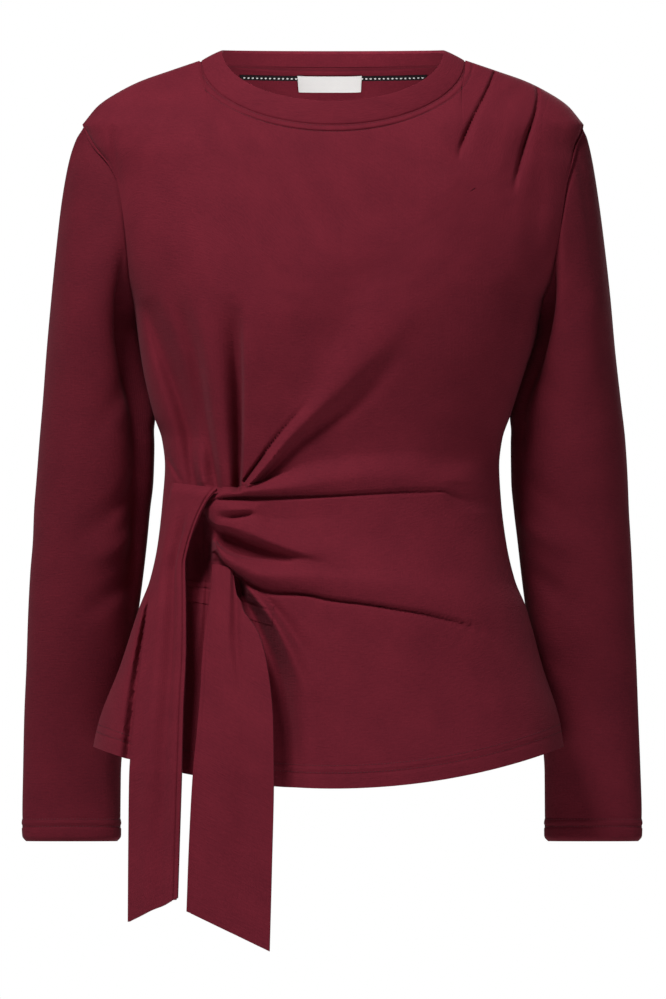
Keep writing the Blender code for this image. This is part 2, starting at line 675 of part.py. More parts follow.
def sample(values, across, down, place, row):
    """Value of a grid between its columns and rows."""
    column = np.interp(place, across, np.arange(across.size))
    line = np.interp(row, down, np.arange(down.size))
    i, j = int(min(column, across.size - 2)), int(min(line, down.size - 2))
    u, v = column - i, line - j
    upper = (1 - u) * values[j, i] + u * values[j, i + 1]
    lower = (1 - u) * values[j + 1, i] + u * values[j + 1, i + 1]
    return (1 - v) * upper + v * lower


def make_patch(name, inside, patch, stand, columns, colour):
    """A flat trim inside the back of the neck, made from the back's inner points, moved in."""
    across = panel_columns(BACK_COLUMNS)
    down = panel_rows(BACK_LOWER_ROWS)
    normals = grid_normals(inside, closed=False)
    outer, inner = [], []
    for row in np.linspace(patch.top, patch.bottom, PATCH_ROWS):
        for place in np.linspace(patch.left, patch.right, columns + 1):
            point = sample(inside, across, down, place, row)
            inward = sample(normals, across, down, place, row)
            inward = inward / np.linalg.norm(inward)
            outer.append(point + (stand + TAPE_WALL) * inward)
            inner.append(point + stand * inward)
    shape = (PATCH_ROWS, columns + 1, 3)
    make_shell(name, np.array(outer).reshape(shape), np.array(inner).reshape(shape), False, colour)


for old in list(bpy.data.objects):
    bpy.data.objects.remove(old)
TOP = bpy.data.collections.new("jersey_top")
bpy.context.scene.collection.children.link(TOP)

_, front_normals = make_panel("front", FRONT_COLUMNS, FRONT_LOWER_ROWS)
back_inside, back_normals = make_panel("back", BACK_COLUMNS, BACK_LOWER_ROWS)
make_sleeve("right", -1.0, front_normals, back_normals)
make_sleeve("left", 1.0, front_normals, back_normals)
make_neckband(front_normals, back_normals)
make_tie("tie_side", SIDE_TIE)
make_tie("tie_drape", DRAPE_TIE)
make_knot()
make_patch("neck_tape", back_inside, NECK_TAPE, TAPE_GAP, 16, SEAM_BLACK)
make_patch("label", back_inside, LABEL, LABEL_STAND, 6, WHITE)
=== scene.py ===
"""A long-sleeved burgundy jersey top, filled out as worn, whose draped front is tied at the waist.

Tables and sizes are in millimetres. +X is the wearer's left, the front faces -Y and +Z is up.
"""
import math

import bpy
import numpy as np
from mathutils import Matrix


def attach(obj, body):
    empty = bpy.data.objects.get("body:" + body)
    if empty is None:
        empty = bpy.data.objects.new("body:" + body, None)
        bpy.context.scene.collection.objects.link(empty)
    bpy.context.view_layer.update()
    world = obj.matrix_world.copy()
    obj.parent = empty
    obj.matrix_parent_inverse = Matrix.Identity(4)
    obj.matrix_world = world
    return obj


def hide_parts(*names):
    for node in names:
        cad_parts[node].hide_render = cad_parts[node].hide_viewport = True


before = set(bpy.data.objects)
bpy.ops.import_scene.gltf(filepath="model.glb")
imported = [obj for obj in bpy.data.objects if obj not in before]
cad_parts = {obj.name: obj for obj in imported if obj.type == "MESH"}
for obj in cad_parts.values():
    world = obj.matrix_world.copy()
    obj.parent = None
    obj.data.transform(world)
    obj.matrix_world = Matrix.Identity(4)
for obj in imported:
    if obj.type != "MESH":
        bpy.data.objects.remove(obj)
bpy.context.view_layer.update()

MM = 0.001

# THE DRAPED FRONT
# One panel of burgundy jersey, cut wider than the body. Two tucks in the left shoulder seam and the
# knot at the right of the waist take up the extra cloth, and long folds run between them.

FRONT_WALL = 1.4
# Power of the rounded section: 2 is an ellipse, more is squarer
ROUNDNESS = 2.25
UNDERARM_Z = -215.0
HEM_SIDE_Z = -578.0
HEM_DROP = {"front": 33.5, "back": 10.0}
# The neck's share of a panel's top edge, its half width at the seam, and the shoulder's tip
NECK_SHARE = 0.42
NECK_HALF = 109.5
TIP_X = 208.0
TIP_Z = -62.0
# Distance from the middle and height of the shoulder line
SHOULDER = np.array([
    (96.0, -4.0), (NECK_HALF, -8.5), (136.0, -17.5), (160.0, -26.0),
    (178.0, -35.0), (194.5, -46.0), (TIP_X, TIP_Z),
])
# Armhole seam: height, distance from the middle at the right and the left, how far before the side
ARMHOLE = np.array([
    (-215.0, 165.0, 173.0, 0.0), (-206.0, 166.5, 175.0, 15.0), (-190.0, 169.0, 181.0, 31.0),
    (-164.0, 171.0, 186.0, 44.0), (-136.0, 174.0, 190.0, 46.0), (-111.0, 178.5, 194.0, 40.0),
    (-96.0, 186.0, 198.0, 34.0), (-81.0, 198.0, 201.0, 24.0), (-68.0, 205.5, 207.0, 9.0),
    (-62.0, 208.0, 208.0, 0.0),
])
# Side seams: height, distance from the middle at the right and the left
SIDE = np.array([
    (-620.0, 205.0, 198.0), (-578.0, 199.0, 191.5), (-556.0, 194.0, 188.0), (-512.0, 177.0, 174.0),
    (-462.0, 160.5, 160.0), (-440.0, 152.0, 151.0), (-410.0, 145.5, 144.0), (-374.0, 141.5, 139.5),
    (-345.0, 139.5, 138.0), (-323.0, 142.0, 140.5), (-304.0, 148.5, 147.0), (-266.0, 157.5, 159.5),
    (-240.0, 161.5, 168.0), (-215.0, 165.0, 173.0),
])
# Depth of the form: height, before the side seams, behind them
DEPTH = np.array([
    (-650.0, 129.0, 82.0), (-600.0, 127.0, 81.0), (-550.0, 121.0, 80.5), (-500.0, 112.0, 80.0),
    (-450.0, 101.0, 79.0), (-400.0, 91.0, 78.0), (-365.0, 88.0, 79.0), (-330.0, 92.0, 83.0),
    (-290.0, 101.0, 92.0), (-250.0, 111.0, 100.0), (-215.0, 115.0, 104.0), (-180.0, 112.0, 105.0),
    (-130.0, 101.0, 102.0), (-90.0, 88.0, 96.0), (-63.0, 74.0, 90.0), (-40.0, 47.5, 84.0),
    (-20.0, 21.6, 74.0), (-12.8, 12.0, 66.0), (-10.6, 8.0, 52.0), (-9.2, 5.0, 36.0), (-8.5, 2.0, 2.0),
])


def cubic(t, step, low, low_slope, high, high_slope):
    """Curve at a share t of a step, between two values with their slopes."""
    return (
        (2 * t**3 - 3 * t**2 + 1) * low
        + (t**3 - 2 * t**2 + t) * step * low_slope
        + (3 * t**2 - 2 * t**3) * high
        + (t**3 - t**2) * step * high_slope
    )


def smooth_line(stations, values, at):
    """Smooth curve through the values at rising stations, which never passes beyond them."""
    steps = np.diff(stations)
    chords = np.diff(values) / steps
    slopes = np.zeros(len(values))
    slopes[0], slopes[-1] = chords[0], chords[-1]
    same = chords[:-1] * chords[1:] > 0
    slopes[1:-1][same] = 2 * chords[:-1][same] * chords[1:][same] / (chords[:-1] + chords[1:])[same]
    at = np.clip(at, stations[0], stations[-1])
    i = np.clip(np.searchsorted(stations, at, side="right") - 1, 0, len(steps) - 1)
    t = (at - stations[i]) / steps[i]
    return cubic(t, steps[i], values[i], slopes[i], values[i + 1], slopes[i + 1])


def ease(t):
    """Smooth step from 0 to 1."""
    t = np.clip(t, 0.0, 1.0)
    return t * t * (3 - 2 * t)


def rounded(share, power):
    """Height of a rounded section of unit size at a share of its half width."""
    return (1 - np.clip(np.abs(share), 0.0, 1.0) ** power) ** (1 / power)


def form_half(column):
    """Half width of the form at each height: side seam, armhole and shoulder line in one table."""
    rows = [(row[0], row[column]) for row in SIDE]
    for row in ARMHOLE[1:-1]:
        depth = smooth_line(DEPTH[:, 0], DEPTH[:, 1], row[0])
        rows.append((row[0], row[column] / rounded(row[3] / depth, ROUNDNESS)))
    halves = np.linspace(TIP_X, 97.0, 60)
    rows += list(zip(smooth_line(SHOULDER[:, 0], SHOULDER[:, 1], halves), halves))
    return np.array(rows, dtype=float).T


FORM_HALF = (form_half(1), form_half(2))


def form_depth(x, z, face):
    """Distance of the smooth form from the plane of the side seams."""
    half = np.where(x < 0, smooth_line(*FORM_HALF[0], z), smooth_line(*FORM_HALF[1], z))
    return smooth_line(DEPTH[:, 0], DEPTH[:, 1 if face == "front" else 2], z) * rounded(x / half, ROUNDNESS)


def neck_loop(angle, edge):
    """A loop round the neck from its front middle: edge 0 is the band's seam, 1 its folded edge."""
    toward = np.cos(angle)
    front = (toward + np.sqrt(toward**2 + 0.05**2)) / 2
    back = front - toward
    half = NECK_HALF - 17.5 * edge
    y = np.where(toward > 0, -(74.0 - 8.0 * edge), -(66.0 - 14.0 * edge)) * toward
    seam_z = -8.5 - 54.5 * front - 4.3 * back
    return np.stack([half * np.sin(angle), y, seam_z + edge * (-43.4 * front - seam_z)], axis=-1)


def edge_half(z, column):
    """Half width of the body panels: the armhole seam above the underarm, the side seam below."""
    armhole = smooth_line(ARMHOLE[:, 0], ARMHOLE[:, column], z)
    return np.where(z > UNDERARM_Z, armhole, smooth_line(SIDE[:, 0], SIDE[:, column], z))


def panel_points(face, across, down):
    """Points of the smooth front or back, without folds, at shares across and down the panel."""
    across, down = np.broadcast_arrays(across, down[:, None])
    beyond = np.clip((np.abs(across) - NECK_SHARE) / (1 - NECK_SHARE), 0, 1)
    angle = np.clip(across / NECK_SHARE, -1, 1) * math.pi / 2
    neck = neck_loop(angle if face == "front" else math.pi - angle, 0.0)
    shoulder_x = NECK_HALF + beyond * (TIP_X - NECK_HALF)
    on_neck = np.abs(across) < NECK_SHARE
    top_x = np.where(on_neck, neck[..., 0], np.sign(across) * shoulder_x)
    top_y = np.where(on_neck, neck[..., 1], 0.0)
    top_z = np.where(on_neck, neck[..., 2], smooth_line(SHOULDER[:, 0], SHOULDER[:, 1], shoulder_x))
    hem_z = HEM_SIDE_Z - HEM_DROP[face] * np.cos(across * math.pi / 2) ** 2
    z = top_z + down * (hem_z - top_z)
    lowered = ease(down / 0.3)
    edge_z = TIP_Z + down * (HEM_SIDE_Z - TIP_Z)
    level_z = edge_z + lowered * (z - edge_z)
    edge = np.where(across < 0, edge_half(level_z, 1), edge_half(level_z, 2))
    x = edge * (top_x / TIP_X + lowered * (np.sin(across * math.pi / 2) - top_x / TIP_X))
    toward = -1.0 if face == "front" else 1.0
    y = toward * form_depth(x, z, face)
    top_form = toward * form_depth(top_x, top_z, face)
    y = y + (top_y - top_form) * (1 - ease(down / 0.1))
    return np.stack([x, y, z], axis=-1)


def stations(count, low, high, close):
    """Stations from low to high, closer together by a factor where a (from, to, factor) row says."""
    fine = np.linspace(low, high, 4001)
    weight = np.ones_like(fine)
    for start, end, factor in close:
        soft = 0.12 * (end - start)
        weight += (factor - 1) * ease((fine - start + soft) / soft) * ease((end + soft - fine) / soft)
    total = np.concatenate([[0.0], np.cumsum((weight[:-1] + weight[1:]) / 2)])
    return np.interp(np.linspace(0, total[-1], count), total, fine)


FOLD_STEPS = 4


def fold_relief(x, z, folds):
    """Height that soft folds add. A fold is rows of x, z, height, and how far it falls on each side.

    The first fall is that of the side above, or at the left where the fold runs more down than across.
    """
    ridges = np.zeros_like(x)
    troughs = np.zeros_like(x)
    for points in folds:
        rows = np.array(points, dtype=float)
        places = np.arange(len(rows), dtype=float)
        fine = np.arange((len(rows) - 1) * FOLD_STEPS + 1) / FOLD_STEPS
        curve = np.stack([smooth_line(places, rows[:, i], fine) for i in range(5)], axis=1)
        best = np.full_like(x, np.inf)
        height = np.zeros_like(x)
        for i, (start, end) in enumerate(zip(curve[:-1], curve[1:])):
            whole = rows[i // FOLD_STEPS + 1] - rows[i // FOLD_STEPS]
            run_x, run_z = end[0] - start[0], end[1] - start[1]
            along = ((x - start[0]) * run_x + (z - start[1]) * run_z) / (run_x**2 + run_z**2)
            along = np.clip(along, 0.0, 1.0)
            off_x = x - start[0] - along * run_x
            off_z = z - start[1] - along * run_z
            distance = np.hypot(off_x, off_z)
            side = run_x * off_z - run_z * off_x
            above = (side > 0) == (run_x > 0) if abs(whole[0]) > abs(whole[1]) else side < 0
            off = np.where(above, 1, -1) * np.abs(side) / np.hypot(run_x, run_z)
            blend = ease(0.5 + off / 2.0)
            fall_above = start[3] + along * (end[3] - start[3])
            fall_below = start[4] + along * (end[4] - start[4])
            fall = fall_below + blend * (fall_above - fall_below)
            crest = start[2] + along * (end[2] - start[2])
            height = np.where(distance < best, crest * np.exp(-((distance / fall) ** 2)), height)
            best = np.minimum(best, distance)
        ridges += np.clip(height, 0, None) ** 3
        troughs += np.clip(height, None, 0)
    return np.cbrt(ridges) + troughs


# Rows of each fold: x, z, height, fall above or left, fall below or right
FRONT_FOLDS = [
    # two tucks in the left shoulder seam: a sharp line each, in a soft hollow that lasts longer
    [(136, -14, -5, 1.4, 1.2), (127, -36, -5.5, 1.5, 1.2), (120, -50, -6, 1.7, 1.3),
     (109.5, -72, -5.5, 2, 1.4), (105.5, -83, -3, 2, 1.6), (103.5, -92, 0, 2, 2)],
    [(134, -24, 0, 7, 4), (120, -50, -1.6, 8, 4), (107, -80, -2.2, 9, 6), (103, -108, 0, 12, 10)],
    [(168.6, -28, -5, 1.4, 1.2), (170, -38, -5.5, 1.4, 1.2), (167.6, -53, -6, 1.6, 1.3),
     (160, -75, -6.5, 2, 1.4), (154, -97, -5, 2.2, 1.6), (151, -112, -1.5, 2.4, 2),
     (150, -120, 0, 2.4, 2)],
    [(169, -42, 0, 6, 4), (163, -66, -1.8, 7, 4.5), (155, -90, -3.2, 9, 6), (148, -126, 0, 12, 10)],
    # creases that fan out from the tucks over the chest
    [(112, -88, 0, 14, 14), (98, -112, 1.6, 16, 14), (80, -150, 0, 22, 20)],
    [(150, -118, 0, 16, 16), (141, -150, -2.0, 18, 16), (126, -205, 0, 26, 24)],
    [(168, -96, 0, 10, 9), (170, -130, -2.6, 10, 9), (164, -180, -1.6, 12, 11), (160, -214, 0, 14, 12)],
    # short crease beside the right armhole
    [(-185.5, -60, 0, 2, 2), (-184, -70, -2.4, 1.8, 1.4), (-181, -90, -4.4, 2.4, 1.6),
     (-178.4, -108, -4.6, 3, 2), (-177, -122, 0, 3, 3)],
    # side of the waist at the right
    [(-157, -206, 0, 6, 9), (-149.5, -225, -10, 6.4, 12), (-140.5, -250, -17, 8, 14),
     (-131, -275, -20, 9, 14), (-123, -300, -20, 9, 12), (-118, -322, -18, 8.4, 9),
     (-116.5, -342, -13, 7, 7), (-114, -362, -9, 6, 5)],
    [(-139, -165, 0, 10, 10), (-130, -205, -3.6, 8, 9), (-122, -228, -9, 8, 8),
     (-114.5, -252, -12, 8, 7), (-110, -276, -13, 8, 5.4), (-106, -302, -13.5, 8, 4.4),
     (-102, -326, -13.5, 8, 4.2), (-98.5, -348, -13, 8, 4), (-96, -364, -9, 5, 3.5)],
    [(-139, -333, 0, 2, 2), (-136.5, -340, -3.5, 1.6, 1.8), (-131, -350, -4, 1.6, 1.8),
     (-127, -357, -3, 1.6, 1.8)],
    [(-114, -322, 0, 5, 5), (-111.5, -345, 3, 3.5, 3.5), (-108, -358, 2.4, 3.5, 3.5)],
    # deep trough that runs down to the knot
    [(-87, -202, 0, 11, 10), (-86, -222, -4.5, 13, 11), (-83.5, -242, -8, 12, 8),
     (-81.5, -266, -9, 10, 6), (-80, -300, -8, 8, 5), (-79.5, -340, -4, 6, 4), (-79, -366, -3, 4, 3)],
    [(-80, -212, 0, 8, 6), (-78, -234, -5, 8.5, 3.2), (-76.4, -258, -10, 8, 2),
     (-75.8, -280, -13, 7.5, 1.6), (-75.8, -300, -15, 7, 1.5), (-76, -325, -16, 6.4, 1.4),
     (-76.8, -350, -15, 5.2, 1.4), (-78.2, -367, -15, 4, 1.6)],
    # long diagonal fold from the chest to the knot, and the troughs on both its sides
    [(104, -160, 0, 30, 26), (66, -214, 1.6, 24, 16), (38, -246, 3.2, 20, 11), (12, -274, 5.4, 16, 8.5),
     (-10, -296, 7.4, 11, 7), (-38, -325, 9, 6.4, 5.5), (-57, -347.5, 10, 3.8, 3.4),
     (-70, -361, 10, 2.2, 2.5)],
    [(-18, -290, 0, 1.8, 1.8), (-28, -300, -2.2, 1.3, 1.5), (-38, -311, -3.2, 1.2, 1.5),
     (-49.5, -325, -4, 1.1, 1.5), (-60.5, -340, -4.6, 1.1, 1.5), (-73.6, -358, -5, 1.1, 1.5)],
    [(60, -245, 0, 9, 14), (40, -268, -2, 7, 9.5), (20, -290, -3.2, 6, 8), (0, -304.5, -4, 5, 6.6),
     (-30, -325.5, -5, 4.2, 5.4), (-46, -342, -5.6, 3.6, 4.6), (-57, -353.5, -5, 3, 3.4),
     (-62, -359, 0, 2.4, 2.4)],
    # soft hollow under the chest
    [(44, -168, 0, 18, 16), (22, -196, -2.6, 22, 15), (2, -232, -3.6, 26, 16), (-24, -262, -1.6, 26, 18),
     (-44, -290, 0, 20, 18)],
    # fold that falls from the knot to the hem, with a trough on each side
    [(-73, -443, 3, 2, 3), (-63, -455, 7, 2.2, 5), (-46.5, -478, 8.5, 2.8, 7), (-38, -495, 8, 3.4, 8),
     (-27, -519, 6, 5, 11), (-16, -550, 2.5, 10, 16), (-10, -585, 0, 16, 20)],
    [(-79, -438, -8, 3.5, 3), (-75, -452, -16, 6, 4), (-65, -470, -18, 9, 6), (-56, -492, -20, 11, 7.4),
     (-46, -522, -21, 12, 9), (-40, -560, -19, 14, 10.5), (-37, -612, -14, 15, 13)],
    [(-60, -448, 0, 2.4, 3), (-46, -467, -4.4, 3, 5), (-30, -490, -3.6, 4, 7), (-12, -522, 0, 10, 12)],
    # cloth behind the ties
    [(-109, -384, -4, 8, 3), (-108, -400, -13, 9, 6), (-106.6, -420, -17, 10.5, 6.6),
     (-105.4, -442, -19, 12, 7), (-105.6, -472, -19, 13, 7.6), (-108, -520, -18, 14, 8.6),
     (-111, -570, -15, 14, 10), (-113.4, -614, -12, 14, 12)],
    [(-105.5, -424, 0, 2.4, 2.4), (-107, -446, 2.6, 2.3, 2.5), (-109, -476, 2.8, 2.4, 2.6),
     (-111.6, -516, 0, 3, 3)],
    # hip at the right of the ties
    [(-150, -446, 0, 2, 3), (-154, -466, -13, 2.6, 6), (-158, -490, -18, 3.2, 8),
     (-163, -522, -18, 3.8, 9), (-168.5, -575, -14, 4.4, 9), (-172, -612, -9, 5, 9)],
    # faint creases at the left of the waist
    [(132, -300, 0, 14, 14), (116, -330, -2.0, 14, 13), (92, -344, -2.6, 12, 10), (64, -340, 0, 12, 12)],
    [(138, -392, 0, 10, 10), (124, -384, 2.4, 10, 9), (104, -372, 3.0, 11, 8), (84, -366, 0, 12, 9)],
    [(60, -486, 0, 18, 18), (96, -520, -1.8, 20, 20), (128, -566, 0, 26, 26)],
]

# Lines of the gathered cloth from the knot to the left side, each with rows of x, z and height
GATHER_LINES = {
    "above": [
        (-108, -361, 0), (-92, -363.4, 3), (-78, -362.8, 4), (-65, -360, 4), (-50, -355, 3),
        (-25, -345, 1), (0, -336, 0), (60, -331, 0), (100, -330, 0), (150, -332, 0),
    ],
    "upper crest": [
        (-106, -375.4, 1), (-103, -372.5, 10), (-97, -370, 15), (-90, -368.2, 16.5), (-80, -366.9, 16.5),
        (-65, -365.6, 14.5), (-50, -364, 12.5), (-25, -361.6, 10.5), (0, -358, 9), (25, -356, 8),
        (60, -356.5, 7), (90, -358, 4.5), (120, -360, 1.5), (150, -362, 0),
    ],
    "upper shoulder": [
        (-106, -376, 1.5), (-103, -373.4, 10), (-97, -371.6, 14.8), (-90, -370, 16), (-80, -369.2, 15.4),
        (-65, -368.6, 13), (-50, -368.4, 10.6), (-25, -368, 8.2), (0, -367.4, 6.6), (25, -365.8, 6.4),
        (60, -364.6, 5.8), (90, -364, 4), (103, -367.5, 2.2), (120, -370, 1), (150, -372, 0),
    ],
    "upper groove": [
        (-106, -376.6, 2.4), (-103, -374.8, 10.6), (-97, -373.2, 13.6), (-90, -372.2, 10.4),
        (-80, -371.8, 7), (-65, -371.4, 4.2), (-50, -371, 2.8), (-25, -370.4, 2), (0, -369.8, 1.6),
        (25, -368, 2.4), (60, -366.2, 2.2), (90, -365.8, 1.4), (103, -371.5, 0.2), (120, -375, 0.2),
        (150, -376, 0),
    ],
    "past the groove": [
        (-106, -377.4, 5), (-103, -376.4, 12), (-97, -375, 15.6), (-90, -374.8, 15), (-80, -374.8, 13.4),
        (-65, -375, 9.4), (-50, -374.8, 7.2), (-25, -373.6, 6), (0, -372.4, 5.2), (25, -370.8, 4.6),
        (60, -368.6, 4.4), (90, -368, 3.4), (103, -376, 1.2), (120, -380, 0.6), (150, -381, 0),
    ],
    "roll crest": [
        (-106, -379.8, 9), (-103, -379.5, 14), (-97, -380.6, 17), (-90, -381.2, 17.6),
        (-80, -381.4, 17.2), (-72, -381.2, 15.8), (-65, -381.6, 13), (-50, -388, 7.6), (-25, -388, 6.2),
        (0, -386, 5.4), (25, -384, 5.4), (60, -382, 4.6), (100, -384, 2.6), (150, -386, 0),
    ],
    "lens hollow": [
        (-106, -382.6, 7), (-103, -384, 12.6), (-97, -386.8, 15.6), (-90, -388, 13.2), (-80, -387.2, 10),
        (-72, -385.8, 10.2), (-65, -385.2, 12), (-50, -391.5, 9), (-25, -394, 7.2), (0, -394, 6.4),
        (60, -394, 5), (100, -394, 2.8), (150, -394, 0),
    ],
    "thin bright ridge": [
        (-106, -384.2, 3), (-103, -388, 10.5), (-99.5, -390.6, 12.6), (-97, -392.4, 14.4),
        (-90, -392, 15.6), (-80, -391, 15.8), (-72, -389.8, 15), (-65, -390.6, 14.6),
        (-50, -396.5, 12.2), (-25, -401, 9.2), (0, -402, 7.6), (25, -402, 6.4), (60, -402, 5.4),
        (100, -402, 3), (150, -402, 0),
    ],
    "middle crest": [
        (-106, -385, 1), (-103, -389, 8), (-99.5, -391.6, 12), (-96, -393.8, 14.2), (-88, -394.6, 15.8),
        (-78, -396.5, 16.4), (-70, -399.5, 17), (-60, -403.5, 17.6), (-50, -408, 17.8),
        (-38, -412.5, 16.6), (-25, -416.5, 14.8), (0, -420, 11.2), (25, -422, 9.6), (60, -424, 8),
        (100, -424, 4.6), (150, -424, 0),
    ],
    "middle underside": [
        (-106, -386, 0), (-103, -390, 4), (-99.5, -393, 8), (-96, -395.4, 9.5), (-88, -397.8, 11.5),
        (-78, -401.4, 12.5), (-70, -404.5, 13), (-60, -408.5, 13.2), (-50, -412.4, 13.4),
        (-38, -416.2, 13.2), (-25, -419.4, 13), (0, -423, 11.4), (25, -425, 10), (60, -427, 8.4),
        (100, -428, 4.8), (150, -428, 0),
    ],
    "valley top": [
        (-106, -388, 0), (-103, -392.5, 0), (-99.5, -397, 0), (-96, -399.4, 0), (-88, -403, -1.6),
        (-78, -407, -2), (-70, -410.5, -1.4), (-60, -414.2, 0.4), (-50, -417.4, 3.4), (-38, -419.8, 7.2),
        (-25, -422, 10.8), (0, -426, 11.6), (25, -428, 10.4), (60, -430, 8.8), (100, -432, 5),
        (150, -432, 0),
    ],
    "valley floor": [
        (-106, -400, 0), (-102, -403, 0), (-97, -405.8, 0), (-94, -409.6, -1), (-88, -413.8, -2),
        (-80, -417.6, -2.6), (-72, -420, -2), (-60, -421.4, -0.2), (-50, -422, 3), (-38, -423, 7),
        (-25, -424.6, 11), (0, -429, 11.8), (25, -431, 11), (60, -434, 9.6), (100, -438, 5.6),
        (150, -440, 0),
    ],
    "thin lower edge": [
        (-106, -408, 0), (-102, -409, -4), (-98.6, -407.6, 4), (-97, -408.6, 10.6), (-94, -413, 13),
        (-90, -416.4, 13.4), (-84, -419.6, 12.8), (-76, -421.8, 10.4), (-68, -422.8, 9),
        (-60, -423.8, 8.6), (-50, -425, 9), (-38, -427, 10.6), (-25, -428.4, 12), (0, -432.5, 12.8),
        (25, -434.5, 12.2), (60, -438.5, 11), (100, -444.5, 6.8), (150, -449, 0),
    ],
    "lower crest": [
        (-106, -416, 0), (-102, -415, -5), (-98.6, -411.4, 2), (-96, -413, 11.4), (-92, -418.2, 14.4),
        (-86, -423, 15.4), (-80, -426, 16), (-72, -429.5, 16.6), (-64, -433.2, 17), (-50, -435.6, 17),
        (-25, -436.2, 16.4), (0, -438.4, 15), (25, -440.4, 14), (60, -447, 12.6), (100, -457, 8),
        (128, -464, 3.6), (150, -470, 0),
    ],
    "lower shoulder": [
        (-106, -418, 0), (-102, -417, -5), (-98, -415, 2), (-96, -416.4, 7), (-92, -422.4, 10.4),
        (-86, -428, 11), (-80, -432, 11), (-72, -436.8, 11), (-64, -441, 11), (-50, -444.8, 11),
        (-25, -448, 10.8), (0, -453.2, 10.4), (25, -457, 10.2), (50, -461.2, 9.8), (75, -465.4, 8.8),
        (100, -471.4, 6.4), (128, -479, 2.8), (150, -484, 0),
    ],
    "undercut": [
        (-106, -421, 0), (-102, -419, -6), (-98, -417.4, -4), (-96, -418.6, -3), (-92, -424.6, -3),
        (-86, -430.2, -3), (-80, -434.4, -2), (-72, -439.6, -1), (-64, -445, 0), (-50, -449.4, 2),
        (-25, -451, 3.4), (0, -456, 4.4), (25, -459, 5), (50, -463, 5), (75, -467.2, 4.4),
        (100, -473.4, 3), (128, -480.6, 1.4), (150, -485.4, 0),
    ],
    "cloth below": [
        (-106, -427, 0), (-97, -425, -6), (-92, -428, -6), (-86, -434, -5), (-80, -438.4, -4),
        (-72, -443.6, -2), (-64, -449.4, 1), (-50, -453.6, 5.6), (-25, -454, 7.6), (0, -459, 8),
        (25, -461.6, 8.4), (50, -465.4, 8), (75, -469.8, 7), (100, -476, 5), (128, -483, 2.2),
        (150, -487, 0),
    ],
    "hip": [
        (-106, -436, 0), (-97, -437, -4), (-90, -441, -4), (-75, -450, -1), (-64, -456, 0.5),
        (-50, -468, 4.6), (-25, -478, 5.6), (0, -486, 5.6), (50, -496, 5), (100, -508, 3),
        (128, -514, 1.2), (150, -520, 0),
    ],
    "below": [
        (-106, -470, 0), (-60, -500, 0), (-25, -540, 0), (0, -556, 0), (60, -566, 0), (150, -570, 0),
    ],
}
GATHER_LINES = {name: np.array(line, dtype=float) for name, line in GATHER_LINES.items()}
# Where the gathered cloth ends behind the side tie
GATHER_END_X = -108.4


def gather_relief(x, z):
    """Height of the gathered cloth: at each x a smooth curve down through its lines."""
    levels = np.array([smooth_line(line[:, 0], line[:, 1], x) for line in GATHER_LINES.values()])
    heights = np.array([smooth_line(line[:, 0], line[:, 2], x) for line in GATHER_LINES.values()])
    steps = np.minimum(np.diff(levels, axis=0), -0.05)
    chords = np.diff(heights, axis=0) / steps
    slopes = np.zeros_like(heights)
    both = chords[:-1] * chords[1:]
    mean = 2 * both / np.where(both > 0, chords[:-1] + chords[1:], 1.0)
    slopes[1:-1] = np.where(both > 0, mean, 0.0)
    relief = np.zeros_like(x)
    for i, step in enumerate(steps):
        t = (z - levels[i]) / step
        height = cubic(t, step, heights[i], slopes[i], heights[i + 1], slopes[i + 1])
        relief = np.where((t > 0) & (t <= 1), height, relief)
    return relief * ease((x - GATHER_END_X + 1.0) / 2.5)


def front_relief(x, z):
    """Height of all the folds of the front. The others leave off where the gathered cloth lies."""
    upper, lower = GATHER_LINES["upper crest"], GATHER_LINES["cloth below"]
    upper = smooth_line(upper[:, 0], upper[:, 1], x) + 1.5
    lower = smooth_line(lower[:, 0], lower[:, 1], x)
    between = ease((upper - z) / 3.0) * ease((z - lower) / 5.0) * ease((x + 101.0) / 5.0)
    return fold_relief(x, z, FRONT_FOLDS) * (1 - between) + gather_relief(x, z)


def row_lengths(points, across=None):
    """Distance along each row from its middle column, or from where its share across is nought."""
    steps = np.linalg.norm(np.diff(points, axis=1), axis=-1)
    total = np.concatenate([np.zeros((points.shape[0], 1)), np.cumsum(steps, axis=1)], axis=1)
    if across is None:
        return total - total[:, [points.shape[1] // 2]]
    return total - np.array([[np.interp(0.0, *row)] for row in zip(across, total)])


def heights_from_hem(points):
    """Distance up each column from its last row."""
    steps = np.linalg.norm(np.diff(points, axis=0), axis=-1)[::-1]
    total = np.concatenate([np.zeros((1, points.shape[1])), np.cumsum(steps, axis=0)], axis=0)
    return total[::-1]


def surface_normals(points, closed=False):
    """Outward unit normals of a grid of points with its rows from the top down."""
    if closed:
        ring = points[:, :-1]
        across = np.roll(ring, -1, axis=1) - np.roll(ring, 1, axis=1)
        across = np.concatenate([across, across[:, :1]], axis=1)
    else:
        across = np.gradient(points, axis=1)
    normals = np.cross(np.gradient(points, axis=0), across)
    return normals / np.maximum(np.linalg.norm(normals, axis=-1, keepdims=True), 1e-9)


